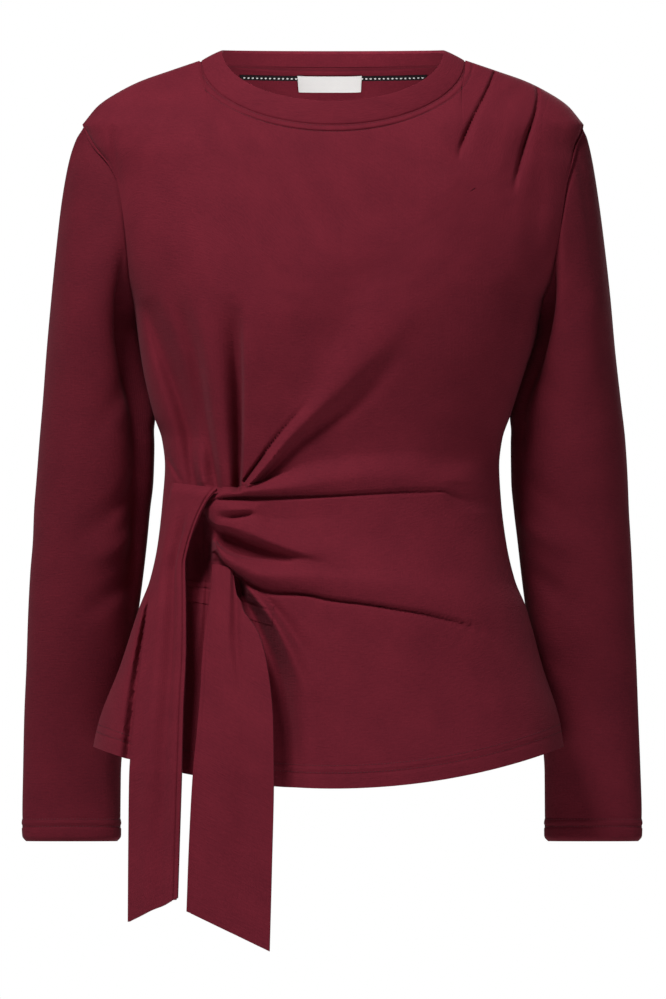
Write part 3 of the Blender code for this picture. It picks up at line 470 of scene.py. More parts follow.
def lay_cloth(name, points, lengths, heights, wall, closed=False, rim=0.0, left_out=None):
    """A flat grid laid on rows of points from the top down, given its wall inwards and its cloth map.

    rim rounds its cut edges. left_out is a block of the grid that another piece fills.
    """
    rows, columns = points.shape[:2]
    bpy.ops.object.select_all(action="DESELECT")
    bpy.ops.mesh.primitive_grid_add(x_subdivisions=columns - 1, y_subdivisions=rows - 1, size=1.0)
    piece = bpy.context.active_object
    piece.name = piece.data.name = name
    mesh = piece.data
    mesh.vertices.foreach_set("co", (points[::-1] * MM).ravel())
    corner = np.empty(len(mesh.loops), dtype=int)
    mesh.loops.foreach_get("vertex_index", corner)
    cloth_map = np.stack([lengths[::-1].ravel()[corner], heights[::-1].ravel()[corner]], axis=-1)
    mesh.uv_layers.active.name = "cloth"
    mesh.uv_layers["cloth"].uv.foreach_set("vector", (cloth_map * MM).ravel())
    mesh.update()
    if closed:
        bpy.ops.object.mode_set(mode="EDIT")
        bpy.ops.mesh.select_all(action="SELECT")
        bpy.ops.mesh.remove_doubles(threshold=1e-6)
        bpy.ops.object.mode_set(mode="OBJECT")
    if left_out is not None:
        top, bottom, left, right = left_out
        chosen = np.zeros((rows - 1, columns - 1), dtype=bool)
        chosen[top:bottom, left:right] = True
        bpy.ops.object.mode_set(mode="EDIT")
        bpy.ops.mesh.select_all(action="DESELECT")
        bpy.ops.object.mode_set(mode="OBJECT")
        mesh.polygons.foreach_set("select", chosen[::-1].ravel())
        bpy.ops.object.mode_set(mode="EDIT")
        bpy.ops.mesh.select_mode(type="FACE")
        bpy.ops.mesh.delete(type="FACE")
        bpy.ops.object.mode_set(mode="OBJECT")
    thickness = piece.modifiers.new("Wall", "SOLIDIFY")
    thickness.thickness = wall * MM
    thickness.offset = -1.0
    thickness.use_even_offset = False
    bpy.ops.object.modifier_apply(modifier=thickness.name)
    if rim:
        rounding = piece.modifiers.new("Rim", "BEVEL")
        rounding.width = rim * MM
        rounding.segments = 2
        rounding.limit_method = "ANGLE"
        rounding.angle_limit = math.radians(62)
        bpy.ops.object.modifier_apply(modifier=rounding.name)
    bpy.ops.object.shade_smooth_by_angle(angle=math.radians(62))
    return piece


# Rows of stitches above the edge of a hem or cuff, and below the neckband's seam
HEM_ROWS = (13.0, 19.0)
NECK_ROWS = (1.2, 7.0)
# How far the cloth's face lies off the smooth form
FACE_OFF = 0.25


def hem_relief(height):
    """A turned-up hem: doubled cloth below its two rows of stitches, which pull into it."""
    doubled = 0.7 * (1 - ease((height - HEM_ROWS[1] - 0.4) / 1.4))
    return doubled - 0.95 * sum(np.exp(-((height - row) ** 2)) for row in HEM_ROWS)


def from_neck(points):
    """Distance of each point from the neckband's seam, up to 40 mm."""
    away = np.full(points.shape[:2], 40.0)
    seam = neck_loop(np.linspace(0, 2 * math.pi, 721), 0.0)
    for row in np.flatnonzero(points[..., 2].max(axis=1) > -110.0):
        away[row] = np.linalg.norm(points[row][:, None] - seam[None], axis=-1).min(axis=1)
    return np.minimum(away, 40.0)


def neck_relief(away):
    """The pressed seam below the neckband: a stitched groove, a rounded welt and a second groove."""
    welt = 0.9 * np.exp(-(((away - 4.0) / 2.0) ** 2))
    seam = 0.8 * np.exp(-(((away - NECK_ROWS[0]) / 0.7) ** 2))
    return welt - seam - 1.1 * np.exp(-(((away - NECK_ROWS[1]) / 0.9) ** 2))


def front_cloth(across, down):
    """Outer points of the folded front, with each point's place along the cloth and up from the hem."""
    points = panel_points("front", across, down)
    lengths = row_lengths(points, across)
    heights = heights_from_hem(points)
    welt = neck_relief(from_neck(points))
    fade = ease(down[:, None] / 0.005) * ease((1 - np.abs(across)) / 0.05)
    points[..., 1] -= fade * front_relief(points[..., 0], points[..., 2])
    points[..., 1] -= hem_relief(heights) + welt + FACE_OFF
    return points, lengths, heights


# Columns lie closest together on the tucks at the top and on the deep folds and the knot below
TOP_ACROSS = stations(206, -1.0, 1.0, [(0.40, 0.84, 3.6), (-1.0, -0.985, 3.0), (0.985, 1.0, 3.0)])
LOW_ACROSS = stations(206, -1.0, 1.0, [(-0.62, -0.08, 2.8), (-1.0, -0.985, 3.0), (0.985, 1.0, 3.0)])
FRONT_DOWN = stations(272, 0.0, 1.0, [
    (0.0, 0.016, 5.0), (0.016, 0.17, 1.9), (0.25, 0.545, 1.8), (0.545, 0.775, 4.6), (0.96, 1.0, 2.4),
])
low_share = ease((FRONT_DOWN[:, None] - 0.12) / 0.2)
FRONT_ACROSS = TOP_ACROSS + low_share * (LOW_ACROSS - TOP_ACROSS)
front_points, front_lengths, front_heights = front_cloth(FRONT_ACROSS, FRONT_DOWN)
# Block of the grid that the knot's own, finer cloth fills: rows, then columns
GATHER_BLOCK = (
    int(np.searchsorted(FRONT_DOWN, 0.566)), int(np.searchsorted(FRONT_DOWN, 0.765)),
    int(np.searchsorted(LOW_ACROSS, -0.60)), int(np.searchsorted(LOW_ACROSS, -0.195)),
)
front = lay_cloth(
    "front_panel", front_points, front_lengths, front_heights, FRONT_WALL, left_out=GATHER_BLOCK
)


def add_node(tree, kind, settings=None, values=None, links=None):
    """One node with its settings, its socket values and what feeds it."""
    node = tree.nodes.new(kind)
    for name, value in (settings or {}).items():
        setattr(node, name, value)
    for socket, value in (values or {}).items():
        node.inputs[socket].default_value = value
    for socket, source in (links or {}).items():
        tree.links.new(source, node.inputs[socket])
    return node


def linear(code):
    """sRGB hex value as linear red, green, blue and alpha."""
    parts = [int(code[i:i + 2], 16) / 255 for i in (1, 3, 5)]
    return tuple(c / 12.92 if c <= 0.04045 else ((c + 0.055) / 1.055) ** 2.4 for c in parts) + (1.0,)


def new_material(name):
    """A new material with its node tree and its shader."""
    material = bpy.data.materials.new(name)
    material.use_nodes = True
    return material, material.node_tree, material.node_tree.nodes["Principled BSDF"]


def cloth_place(tree):
    """The cloth map in millimetres, and its parts across the cloth and up from the hem."""
    cloth = add_node(tree, "ShaderNodeUVMap", {"uv_map": "cloth"})
    size = add_node(
        tree, "ShaderNodeVectorMath", {"operation": "SCALE"}, {"Scale": 1000.0}, {0: cloth.outputs[0]}
    )
    return size, add_node(tree, "ShaderNodeSeparateXYZ", links={0: size.outputs[0]})


def sine_wave(tree, place, pitch):
    """Waves of a set pitch in millimetres along one part of the cloth map."""
    turn = add_node(
        tree, "ShaderNodeMath", {"operation": "MULTIPLY"}, {1: 2 * math.pi / pitch}, {0: place}
    )
    return add_node(tree, "ShaderNodeMath", {"operation": "SINE"}, {}, {0: turn.outputs[0]})


def shade_between(tree, colour, second, share):
    """Colour between two hex values, as a share says."""
    mix = add_node(
        tree, "ShaderNodeMix", {"data_type": "RGBA"}, {6: linear(colour), 7: linear(second)}, {0: share}
    )
    return mix.outputs[2]


def burgundy_jersey(name, deep, light):
    """Weft-knit viscose and cotton jersey: matt, with fine upright wales and a soft fuzz at its edges.

    Its wales are drawn 1.3 mm apart and its courses 1.0 mm, about twice the real knit, so that they
    show. Slightly uneven yarn draws short level streaks.
    """
    material, tree, shader = new_material(name)
    size, part = cloth_place(tree)
    wave = [sine_wave(tree, part.outputs[i], pitch) for i, pitch in ((0, 1.3), (1, 1.0))]
    knit = add_node(
        tree, "ShaderNodeMath", {"operation": "MULTIPLY_ADD"}, {1: 0.45},
        {0: wave[1].outputs[0], 2: wave[0].outputs[0]},
    )
    long = add_node(
        tree, "ShaderNodeVectorMath", {"operation": "MULTIPLY"}, {1: (0.14, 0.9, 1.0)}, {0: size.outputs[0]}
    )
    streak, grain, cloud = [
        add_node(
            tree, "ShaderNodeTexNoise", {}, {"Scale": scale, "Detail": detail}, {"Vector": place.outputs[0]}
        )
        for scale, detail, place in ((1.0, 2.0, long), (0.55, 3.0, size), (0.03, 2.0, size))
    ]
    fine = add_node(
        tree, "ShaderNodeMath", {"operation": "ADD"}, {},
        {0: streak.outputs["Fac"], 1: grain.outputs["Fac"]},
    )
    uneven = add_node(
        tree, "ShaderNodeMath", {"operation": "ADD"}, {}, {0: fine.outputs[0], 1: cloud.outputs["Fac"]}
    )
    shade = add_node(
        tree, "ShaderNodeMapRange", {},
        {"From Min": 1.05, "From Max": 1.95, "To Min": 0.0, "To Max": 1.0}, {"Value": uneven.outputs[0]},
    )
    tree.links.new(shade_between(tree, deep, light, shade.outputs[0]), shader.inputs["Base Color"])
    wales = add_node(
        tree, "ShaderNodeBump", {}, {"Strength": 0.2, "Distance": 0.0002}, {"Height": knit.outputs[0]}
    )
    yarn = add_node(
        tree, "ShaderNodeBump", {}, {"Strength": 0.5, "Distance": 0.0005},
        {"Height": uneven.outputs[0], "Normal": wales.outputs[0]},
    )
    tree.links.new(yarn.outputs[0], shader.inputs["Normal"])
    shader.inputs["Roughness"].default_value = 0.82
    shader.inputs["Specular IOR Level"].default_value = 0.12
    shader.inputs["Sheen Weight"].default_value = 0.1
    shader.inputs["Sheen Roughness"].default_value = 0.5
    shader.inputs["Sheen Tint"].default_value = linear("#c98a96")
    return material


jersey = burgundy_jersey("burgundy_jersey", "#671a29", "#782130")
# Painted shade: the sleeves get a darker copy of the body's jersey, standing in for the shade on sleeves
# that hang back from the light
sleeve_jersey_painted_shade = burgundy_jersey("burgundy_jersey_sleeves_painted_shade", "#5e1725", "#6e1d2b")
front.data.materials.append(jersey)
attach(front, "root")
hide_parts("front")

# THE BACK
# One plain panel of the same jersey, sewn to the front at the shoulders and down the sides. Its
# creases are soft: three across the waist, and slanting ones above and below them.

BACK_FOLDS = [
    [(-124, -350, 0, 14, 12), (-62, -361, 3.6, 13, 9), (18, -366, 4.6, 14, 9), (114, -350, 0, 16, 12)],
    [(-96, -382, 0, 12, 10), (-30, -388, 2.4, 12, 9), (52, -383, 0, 14, 11)],
    [(-70, -330, 0, 12, 10), (10, -338, 2.2, 13, 9), (74, -330, 0, 14, 11)],
    [(-104, -400, 0, 20, 20), (-70, -440, -3.4, 18, 17), (-10, -500, 0, 24, 24)],
    [(128, -150, 0, 22, 22), (96, -210, -3.4, 20, 18), (52, -290, 0, 24, 24)],
    [(-130, -160, 0, 20, 20), (-104, -214, -2.6, 18, 18), (-76, -280, 0, 22, 22)],
    [(100, -404, 0, 16, 16), (78, -448, -2.4, 16, 16), (40, -520, 0, 22, 22)],
]
BACK_ACROSS = stations(112, -1.0, 1.0, [(-1.0, -0.985, 3.0), (0.985, 1.0, 3.0)])
BACK_DOWN = stations(150, 0.0, 1.0, [(0.0, 0.016, 6.0), (0.965, 1.0, 2.4)])
back_points = panel_points("back", BACK_ACROSS, BACK_DOWN)[:, ::-1]
back_lengths = row_lengths(back_points)
back_heights = heights_from_hem(back_points)
back_welt = neck_relief(from_neck(back_points))
fade = ease(BACK_DOWN[:, None] / 0.02) * ease((1 - np.abs(BACK_ACROSS)) / 0.06)
back_points[..., 1] += fade * fold_relief(back_points[..., 0], back_points[..., 2], BACK_FOLDS)
back_points[..., 1] += hem_relief(back_heights) + back_welt + FACE_OFF
back = lay_cloth("back_panel", back_points, back_lengths, back_heights, FRONT_WALL)
back.data.materials.append(jersey)
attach(back, "root")
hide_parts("back")

# THE SLEEVES
# Two long sleeves of the same jersey, drawn in a darker copy of it as painted shade, each one panel
# closed by a seam under the arm and set into the armhole. The cuff is turned up and sewn with two
# rows of stitches.

SLEEVE_ROUNDNESS = 2.2
# Outer and inner height, outer edge right and left, inner edge right and left, y, half depth
SLEEVE = np.array([
    (-62.0, -215.0, 208.0, 208.0, 165.6, 173.6, 0.0, 44.0),
    (-88.0, -222.0, 218.0, 214.5, 164.4, 172.3, 5.0, 50.0),
    (-124.0, -231.0, 225.0, 220.5, 163.4, 170.8, 10.0, 54.0),
    (-166.0, -241.0, 230.0, 226.0, 161.4, 168.0, 14.0, 56.0),
    (-206.0, -253.0, 234.0, 230.5, 159.4, 163.6, 17.0, 56.0),
    (-250.0, -272.0, 238.0, 234.5, 155.0, 156.4, 20.0, 54.0),
    (-290.0, -298.0, 241.0, 239.0, 150.2, 149.6, 22.0, 51.0),
    (-325.0, -328.0, 244.0, 243.0, 148.2, 147.6, 24.0, 48.5),
    (-357.0, -357.0, 246.5, 245.0, 149.0, 148.0, 27.0, 46.0),
    (-382.0, -382.0, 248.5, 246.0, 151.8, 150.2, 30.0, 43.5),
    (-407.0, -407.0, 249.5, 247.5, 154.2, 153.2, 32.0, 41.0),
    (-435.0, -435.0, 251.8, 249.0, 157.4, 156.4, 35.0, 38.0),
    (-470.0, -470.0, 253.6, 250.4, 162.0, 160.8, 38.0, 34.5),
    (-510.0, -510.0, 255.0, 252.4, 167.0, 166.0, 44.0, 31.0),
    (-555.0, -555.0, 257.0, 254.2, 172.4, 172.0, 51.5, 27.0),
    (-600.0, -600.0, 258.0, 256.0, 176.4, 176.0, 56.0, 24.0),
    (-632.0, -632.0, 258.6, 257.0, 176.8, 176.2, 58.0, 22.8),
    (-652.5, -652.5, 258.0, 256.6, 177.0, 176.4, 58.0, 22.4),
    (-657.0, -657.0, 255.0, 253.6, 180.0, 179.4, 58.0, 20.0),
])
# Creases of a sleeve: turn round it from its outer edge over its front, z, height, fall above, below
SLEEVE_FOLDS = {
    "right": [
        [(116, -92, 0, 10, 8), (130, -120, -8, 16, 10), (140, -160, -17, 24, 12),
         (144, -215, -20, 27, 12), (148, -270, -18, 27, 12), (150, -330, -13, 25, 12),
         (152, -410, -9, 22, 12), (152, -500, 0, 20, 12)],
        [(150, -262, 0, 10, 8), (112, -290, -2.2, 11, 9), (74, -336, 0, 14, 12)],
        [(168, -352, 0, 9, 8), (128, -372, -2.6, 10, 8), (84, -404, -1.2, 12, 10), (58, -424, 0, 12, 12)],
        [(166, -398, 0, 9, 8), (124, -412, 2.4, 9, 8), (84, -428, 0, 11, 10)],
        [(164, -436, 0, 9, 8), (120, -452, -2.4, 10, 9), (80, -476, 0, 12, 11)],
        [(40, -180, 0, 16, 16), (62, -236, 1.8, 16, 16), (70, -300, 0, 18, 18)],
        [(200, -380, 0, 12, 10), (240, -396, 2.8, 11, 9), (290, -386, 0, 12, 10)],
        [(196, -340, 0, 12, 10), (236, -352, 2.2, 11, 9), (280, -344, 0, 12, 10)],
    ],
    "left": [
        [(124, -104, 0, 8, 8), (132, -128, -7, 10, 12), (136, -170, -12, 13, 14),
         (140, -220, -12, 15, 14), (146, -280, -8, 14, 12), (150, -350, 0, 12, 12)],
        [(154, -250, 0, 10, 8), (116, -276, -2.0, 11, 9), (78, -322, 0, 14, 12)],
        [(168, -340, 0, 9, 8), (130, -362, -2.4, 10, 8), (90, -392, -1.2, 12, 10), (60, -416, 0, 12, 12)],
        [(168, -386, 0, 9, 8), (128, -402, 2.2, 9, 8), (90, -420, 0, 11, 10)],
        [(164, -424, 0, 9, 8), (124, -444, -2.6, 10, 9), (82, -470, 0, 12, 11)],
        [(160, -490, 0, 10, 10), (120, -512, -1.6, 12, 10), (84, -540, 0, 14, 12)],
        [(36, -170, 0, 16, 16), (58, -226, 1.8, 16, 16), (66, -300, 0, 18, 18)],
        [(198, -372, 0, 12, 10), (238, -386, 2.6, 11, 9), (286, -378, 0, 12, 10)],
    ],
}
# A degree of turn round a sleeve, in millimetres of cloth
MM_A_DEGREE = 0.9
SLEEVE_COLUMNS = 100
SLEEVE_END = len(SLEEVE) - 1.0
# The seam allowance goes under the body's edge: inwards, off the front or back, and down
LAP = (1.3, 1.9, 1.2)


def sleeve_points(side, rows):
    """Points of a sleeve, whose first ring follows the armhole seam and whose last is the cuff."""
    column, sign = (0, -1.0) if side == "right" else (1, 1.0)
    angle = np.linspace(0, 2 * math.pi, SLEEVE_COLUMNS + 1)[None, :]
    place = stations(rows, 0.0, SLEEVE_END, [(0.0, 0.3, 1.5), (SLEEVE_END - 2.0, SLEEVE_END, 2.0)])[:, None]
    at = [smooth_line(np.arange(len(SLEEVE), dtype=float), SLEEVE[:, i], place) for i in range(8)]
    out_z, in_z, out_x, in_x, y, deep = at[0], at[1], at[2 + column], at[4 + column], at[6], at[7]
    lean = (1 + np.cos(angle)) / 2
    ring = np.stack(
        [
            sign * (in_x + lean * (out_x - in_x)),
            y - deep * np.sign(np.sin(angle)) * rounded(np.cos(angle), SLEEVE_ROUNDNESS),
            in_z + lean * (out_z - in_z) + 0 * angle,
        ],
        axis=-1,
    )
    seam_z = TIP_Z + (1 - np.cos(angle[0])) / 2 * (UNDERARM_Z - TIP_Z)
    seam_x = sign * smooth_line(ARMHOLE[:, 0], ARMHOLE[:, 1 + column], seam_z)
    on_front = np.sin(angle[0]) >= 0
    seam_y = np.where(on_front, -form_depth(seam_x, seam_z, "front"), form_depth(seam_x, seam_z, "back"))
    offset = np.stack([seam_x, seam_y, seam_z], axis=-1) - ring[0]
    lap = np.stack([
        -LAP[0] * sign + 0 * seam_x, LAP[1] * np.sin(angle[0]), -LAP[2] * (1 + np.cos(angle[0])) / 2,
    ], axis=-1)
    ring = ring + offset[None] * (1 - ease(place / 4.0))[..., None]
    ring = ring + lap[None] * (1 - ease(place / 0.5))[..., None]
    # above the elbow the inner side leans on the body
    closer = 2.2 * (1 - lean) * ease(place / 0.5) * ease((ring[..., 2] + 318.0) / 16.0)
    ring[..., 0] -= sign * closer
    return ring, angle, place


def make_sleeve(side):
    """A tube of cloth with creases round the elbow, a groove at its armhole seam and a hemmed cuff."""
    points, angle, place = sleeve_points(side, 176)
    if side == "left":
        points = points[:, ::-1]
        angle = angle[:, ::-1]
    lengths = row_lengths(points)
    heights = heights_from_hem(points)
    normals = surface_normals(points, closed=True)
    turn = np.degrees(angle) + 0 * points[..., 0]
    relief = fold_relief(turn * MM_A_DEGREE, points[..., 2] + 0 * turn, [
        [(row[0] * MM_A_DEGREE,) + row[1:] for row in fold] for fold in SLEEVE_FOLDS[side]
    ])
    relief *= ease(place / 1.5) * ease((SLEEVE_END - place) / 1.8)
    relief += hem_relief(heights) * ease(place / 3.0)
    relief -= 0.8 * np.exp(-((place / 0.035) ** 2))
    points = points + relief[..., None] * normals
    points[:, -1] = points[:, 0]
    sleeve = lay_cloth("sleeve_cloth_" + side, points, lengths, heights, FRONT_WALL, closed=True)
    # painted shade: the sleeve takes the darker copy of the jersey
    sleeve.data.materials.append(sleeve_jersey_painted_shade)
    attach(sleeve, "root")
    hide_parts("sleeve_" + side)
    return sleeve, points, normals, heights


sleeve_right, right_points, right_normals, right_heights = make_sleeve("right")
sleeve_left, left_points, left_normals, left_heights = make_sleeve("left")

# THE NECKBAND
# A strip of the jersey folded in two and sewn round the neck opening with a plain seam. It stands
# up from the seam to its folded edge, a little rounded, and is one ring with no end showing.

BAND_WALL = 2.4
BAND_BULGE = 0.8
band_angle = np.linspace(0, 2 * math.pi, 241)
band_edge = np.concatenate([[1.0, 0.985, 0.96], np.linspace(0.9, 0.08, 14), [0.03, 0.0]])
band_points = np.array([neck_loop(band_angle, edge) for edge in band_edge])
band_points[:, -1] = band_points[:, 0]
band_normals = surface_normals(band_points, closed=True)
band_swell = BAND_BULGE * np.sqrt(np.clip(4 * band_edge * (1 - band_edge), 0, 1)) - 0.5 * (band_edge < 0.02)
band_points = band_points + band_swell[:, None, None] * band_normals
band_points[:, -1] = band_points[:, 0]
neckband = lay_cloth(
    "neckband_ring", band_points, row_lengths(band_points), heights_from_hem(band_points), BAND_WALL,
    closed=True, rim=0.9,
)
neckband.data.materials.append(jersey)
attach(neckband, "root")
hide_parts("neckband")

# THE NECK TAPE
# A narrow black woven tape that covers the neck seam inside the back. White thread runs along it
# in short level stitches, and its two ends stop short of the shoulders.

TAPE_WALL = 0.8
TAPE_STAND = 2.3


def inside_back(across, down, stand):
    """Points inside the back of the neck, a distance in from its outer face, and their directions."""
    points = panel_points("back", across, down)
    normals = surface_normals(points)
    return points + stand * normals, normals


tape_points, _ = inside_back(np.linspace(-0.215, 0.215, 97), np.linspace(0.0118, 0.0188, 9), TAPE_STAND)
neck_tape = lay_cloth(
    "neck_tape_strip", tape_points, row_lengths(tape_points), heights_from_hem(tape_points), TAPE_WALL,
    rim=0.25,
)


def woven_trim(name, base, second, pitch, roughness):
    """A flat woven trim: level weft ribs a set distance apart give it a fine grain."""
    material, tree, shader = new_material(name)
    size, part = cloth_place(tree)
    rib = sine_wave(tree, part.outputs[1], pitch)
    grain = add_node(
        tree, "ShaderNodeTexNoise", {}, {"Scale": 1.2, "Detail": 2.0}, {"Vector": size.outputs[0]}
    )
    colour = shade_between(tree, base, second, grain.outputs["Fac"])
    bump = add_node(
        tree, "ShaderNodeBump", {}, {"Strength": 0.5, "Distance": 0.0002}, {"Height": rib.outputs[0]}
    )
    tree.links.new(colour, shader.inputs["Base Color"])
    tree.links.new(bump.outputs[0], shader.inputs["Normal"])
    shader.inputs["Roughness"].default_value = roughness
    shader.inputs["Specular IOR Level"].default_value = 0.3
    return material


# Woven polyester tape: dull black, with fine ribs across it
neck_tape.data.materials.append(woven_trim("black_woven_tape", "#120d10", "#1f171b", 0.8, 0.8))
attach(neck_tape, "root")
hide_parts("neck_tape")


def sew(name, path, normals, pitch, length, width, stand, material):
    """A row of equal stitches along a path: one stitch modelled, then copied at each place.

    stand is how far a stitch lies off the path, along the normals.
    """
    bpy.ops.object.select_all(action="DESELECT")
    bpy.ops.mesh.primitive_uv_sphere_add(segments=6, ring_count=4, radius=0.5)
    stitches = bpy.context.active_object
    stitches.name = stitches.data.name = name
    one = stitches.data
    shape = np.array([vertex.co for vertex in one.vertices]) * (width, length, width)
    faces = [tuple(face.vertices) for face in one.polygons]
    steps = np.linalg.norm(np.diff(path, axis=0), axis=1)
    along = np.concatenate([[0.0], np.cumsum(steps)])
    count = int(along[-1] / pitch)
    at = (np.arange(count) + 0.5) * along[-1] / count

    def read(values, where):
        """The values at distances along the path."""
        return np.stack([np.interp(where, along, values[:, axis]) for axis in range(3)], axis=-1)

    centre = read(path, at)
    run = read(path, np.minimum(at + 0.5, along[-1])) - read(path, np.maximum(at - 0.5, 0.0))
    run /= np.linalg.norm(run, axis=1, keepdims=True)
    out = read(normals, at)
    out -= (out * run).sum(axis=1, keepdims=True) * run
    out /= np.linalg.norm(out, axis=1, keepdims=True)
    side = np.cross(run, out)
    placed = (
        (centre + stand * out)[:, None]
        + shape[None, :, 0:1] * side[:, None]
        + shape[None, :, 1:2] * run[:, None]
        + shape[None, :, 2:3] * out[:, None]
    )
    all_faces = [
        tuple(corner + number * len(shape) for corner in face) for number in range(count) for face in faces
    ]
    one.clear_geometry()
    one.from_pydata((placed.reshape(-1, 3) * MM).tolist(), [], all_faces)
    one.shade_smooth()
    one.materials.append(material)
    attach(stitches, "root")
    return stitches


def sewing_thread(name, colour, second):
    """Spun polyester thread: a soft satin line whose shade varies a little along it."""
    material, tree, shader = new_material(name)
    place = add_node(tree, "ShaderNodeTexCoord")
    twist = add_node(
        tree, "ShaderNodeTexNoise", {}, {"Scale": 900.0, "Detail": 1.0}, {"Vector": place.outputs["Object"]}
    )
    shade = shade_between(tree, colour, second, twist.outputs["Fac"])
    tree.links.new(shade, shader.inputs["Base Color"])
    shader.inputs["Roughness"].default_value = 0.6
    shader.inputs["Specular IOR Level"].default_value = 0.35
    return material


white_thread = sewing_thread("white_polyester_thread", "#e9e6e2", "#ffffff")
tape_line, tape_line_normals = inside_back(
    np.linspace(-0.21, 0.21, 300), np.array([0.0141, 0.0153, 0.0165]), TAPE_STAND
)
sew("neck_tape_stitches", tape_line[1], tape_line_normals[1], 3.6, 2.3, 1.6, -0.1, white_thread)

# THE LABEL
# A small white satin label with nothing on it, its two ends folded under and sewn down over the
# neck tape at the middle of the back.

LABEL_WALL = 0.7
label_points, label_normals = inside_back(
    np.linspace(-0.075, 0.06, 61), np.linspace(0.0102, 0.0345, 23), TAPE_STAND + 1.0
)
label_share = np.linspace(-1, 1, 61)[None, :, None]
label_points = label_points + 0.7 * (1 - np.abs(label_share) ** 6) * label_normals
label = lay_cloth(
    "blank_label", label_points, row_lengths(label_points), heights_from_hem(label_points), LABEL_WALL,
    rim=0.2,
)
# Woven polyester satin: white with a slight sheen
label.data.materials.append(woven_trim("white_woven_satin", "#f2f1ef", "#fbfaf8", 0.6, 0.5))
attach(label, "root")
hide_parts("label")

# THE GATHERED CLOTH AT THE KNOT
# Part of the front itself: its extra width is drawn together into one roll and a lower lip, which
# end rounded at the wearer's right where the side tie comes over them. It is sewn to nothing here.

GATHER_FINER = 2


def finer(values):
    """Stations with others set evenly between them."""
    places = np.arange((len(values) - 1) * GATHER_FINER + 1) / GATHER_FINER
    return np.interp(places, np.arange(len(values)), values)


top, bottom, left, right = GATHER_BLOCK
finer_down = finer(FRONT_DOWN[top:bottom + 1])
finer_across = finer(LOW_ACROSS[left:right + 1]) + 0 * finer_down[:, None]
gather_points, gather_lengths, gather_heights = front_cloth(finer_across, finer_down)
# Its edges lie on the straight edges of the opening that the panel leaves for it
opening = front_points[top:bottom + 1, left:right + 1]
for edge in (0, -1):
    for axis in range(3):
        gather_points[edge, :, axis] = finer(opening[edge, :, axis])
        gather_points[:, edge, axis] = finer(opening[:, edge, axis])
knot = lay_cloth("knot_gather", gather_points, gather_lengths, gather_heights, FRONT_WALL)
knot.data.materials.append(jersey)
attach(knot, "root")
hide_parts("knot")

# THE TWO TIES
# Doubled straps of the jersey, sewn along one edge and turned. The side tie is sewn into the right
# side seam, comes over the gathered cloth and hangs. The other is the end of the draped front.

TIE_WALL = 2.4
TIE_WIDTH = 42.0
HANG_Z = -598.0
# Left edge x, z, right edge x, z, and how far each edge stands before the smooth front
SIDE_TIE = np.array([
    (-133.6, -359.2, -95.3, -366.0, 5.0, 12.0),
    (-135.0, -367.0, -99.6, -369.4, 14.0, 18.5),
    (-137.4, -376.0, -104.6, -374.6, 20.0, 20.5),
    (-140.6, -388.0, -109.8, -383.6, 25.0, 22.0),
    (-144.0, -404.0, -114.8, -396.0, 29.0, 23.0),
    (-147.0, -421.0, -119.4, -411.0, 34.0, 22.0),
    (-150.4, -440.0, -122.4, -428.0, 35.0, 20.0),
    (-154.0, -468.0, -121.8, -456.0, 31.0, 18.0),
    (-158.6, -506.0, -121.6, -494.0, 25.0, 16.0),
    (-164.0, -552.0, -123.8, -546.0, 19.0, 13.5),
    (-168.5, -602.0, -125.2, -600.0, 14.0, 10.5),
    (-169.3, -660.0, -127.0, -650.0, 9.1, 7.6),
    (-169.6, -722.0, -128.6, -702.0, 9.1, 7.6),
])
DRAPE_TIE = np.array([
    (-98.4, -428.0, -82.6, -431.0, 3.6, 4.0),
    (-98.8, -438.0, -82.0, -440.0, 6.5, 8.0),
    (-100.0, -452.0, -80.4, -451.0, 8.1, 10.0),
    (-102.2, -468.0, -74.0, -465.0, 7.8, 11.5),
    (-104.6, -486.0, -61.5, -484.0, 7.2, 13.5),
    (-107.4, -510.0, -54.0, -513.0, 6.8, 15.0),
    (-111.4, -556.0, -49.6, -556.0, 6.1, 14.0),
    (-116.0, -604.0, -49.0, -606.0, 6.1, 10.0),
    (-119.0, -660.0, -50.5, -676.0, 6.1, 7.1),
    (-121.0, -713.0, -52.4, -745.7, 6.1, 7.1),
])


def strap_points(rows, count):
    """Points of a strap between its edges: on the front down to the hem, then hanging straight."""
    place = np.linspace(0, len(rows) - 1.0, count)
    at = [smooth_line(np.arange(len(rows), dtype=float), rows[:, i], place)[:, None] for i in range(6)]
    across = stations(45, 0.0, 1.0, [(0.0, 0.1, 2.5), (0.86, 1.0, 3.0)])[None, :]
    x = at[0] + across * (at[2] - at[0])
    z = at[1] + across * (at[3] - at[1])
    stand = at[4] + across * (at[5] - at[4])
    y = -form_depth(x, np.maximum(z, HANG_Z), "front") - stand
    return np.stack([x, y, z], axis=-1), across + 0 * x


def crease(share, at, width):
    """A soft line down a strap at a share of its width."""
    return np.exp(-(((share - at) / width) ** 2))


def make_strap(name, rows, count, relief, node):
    """A doubled strap with rounded edges and its own soft creases."""
    points, share = strap_points(rows, count)
    lengths = share * TIE_WIDTH
    heights = heights_from_hem(points)
    normals = surface_normals(points)
    points = points + relief(share, points[..., 0], points[..., 2])[..., None] * normals
    strap = lay_cloth(name, points, lengths, heights, TIE_WALL, rim=0.8)
    strap.data.materials.append(jersey)
    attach(strap, "root")
    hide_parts(node)
    return strap


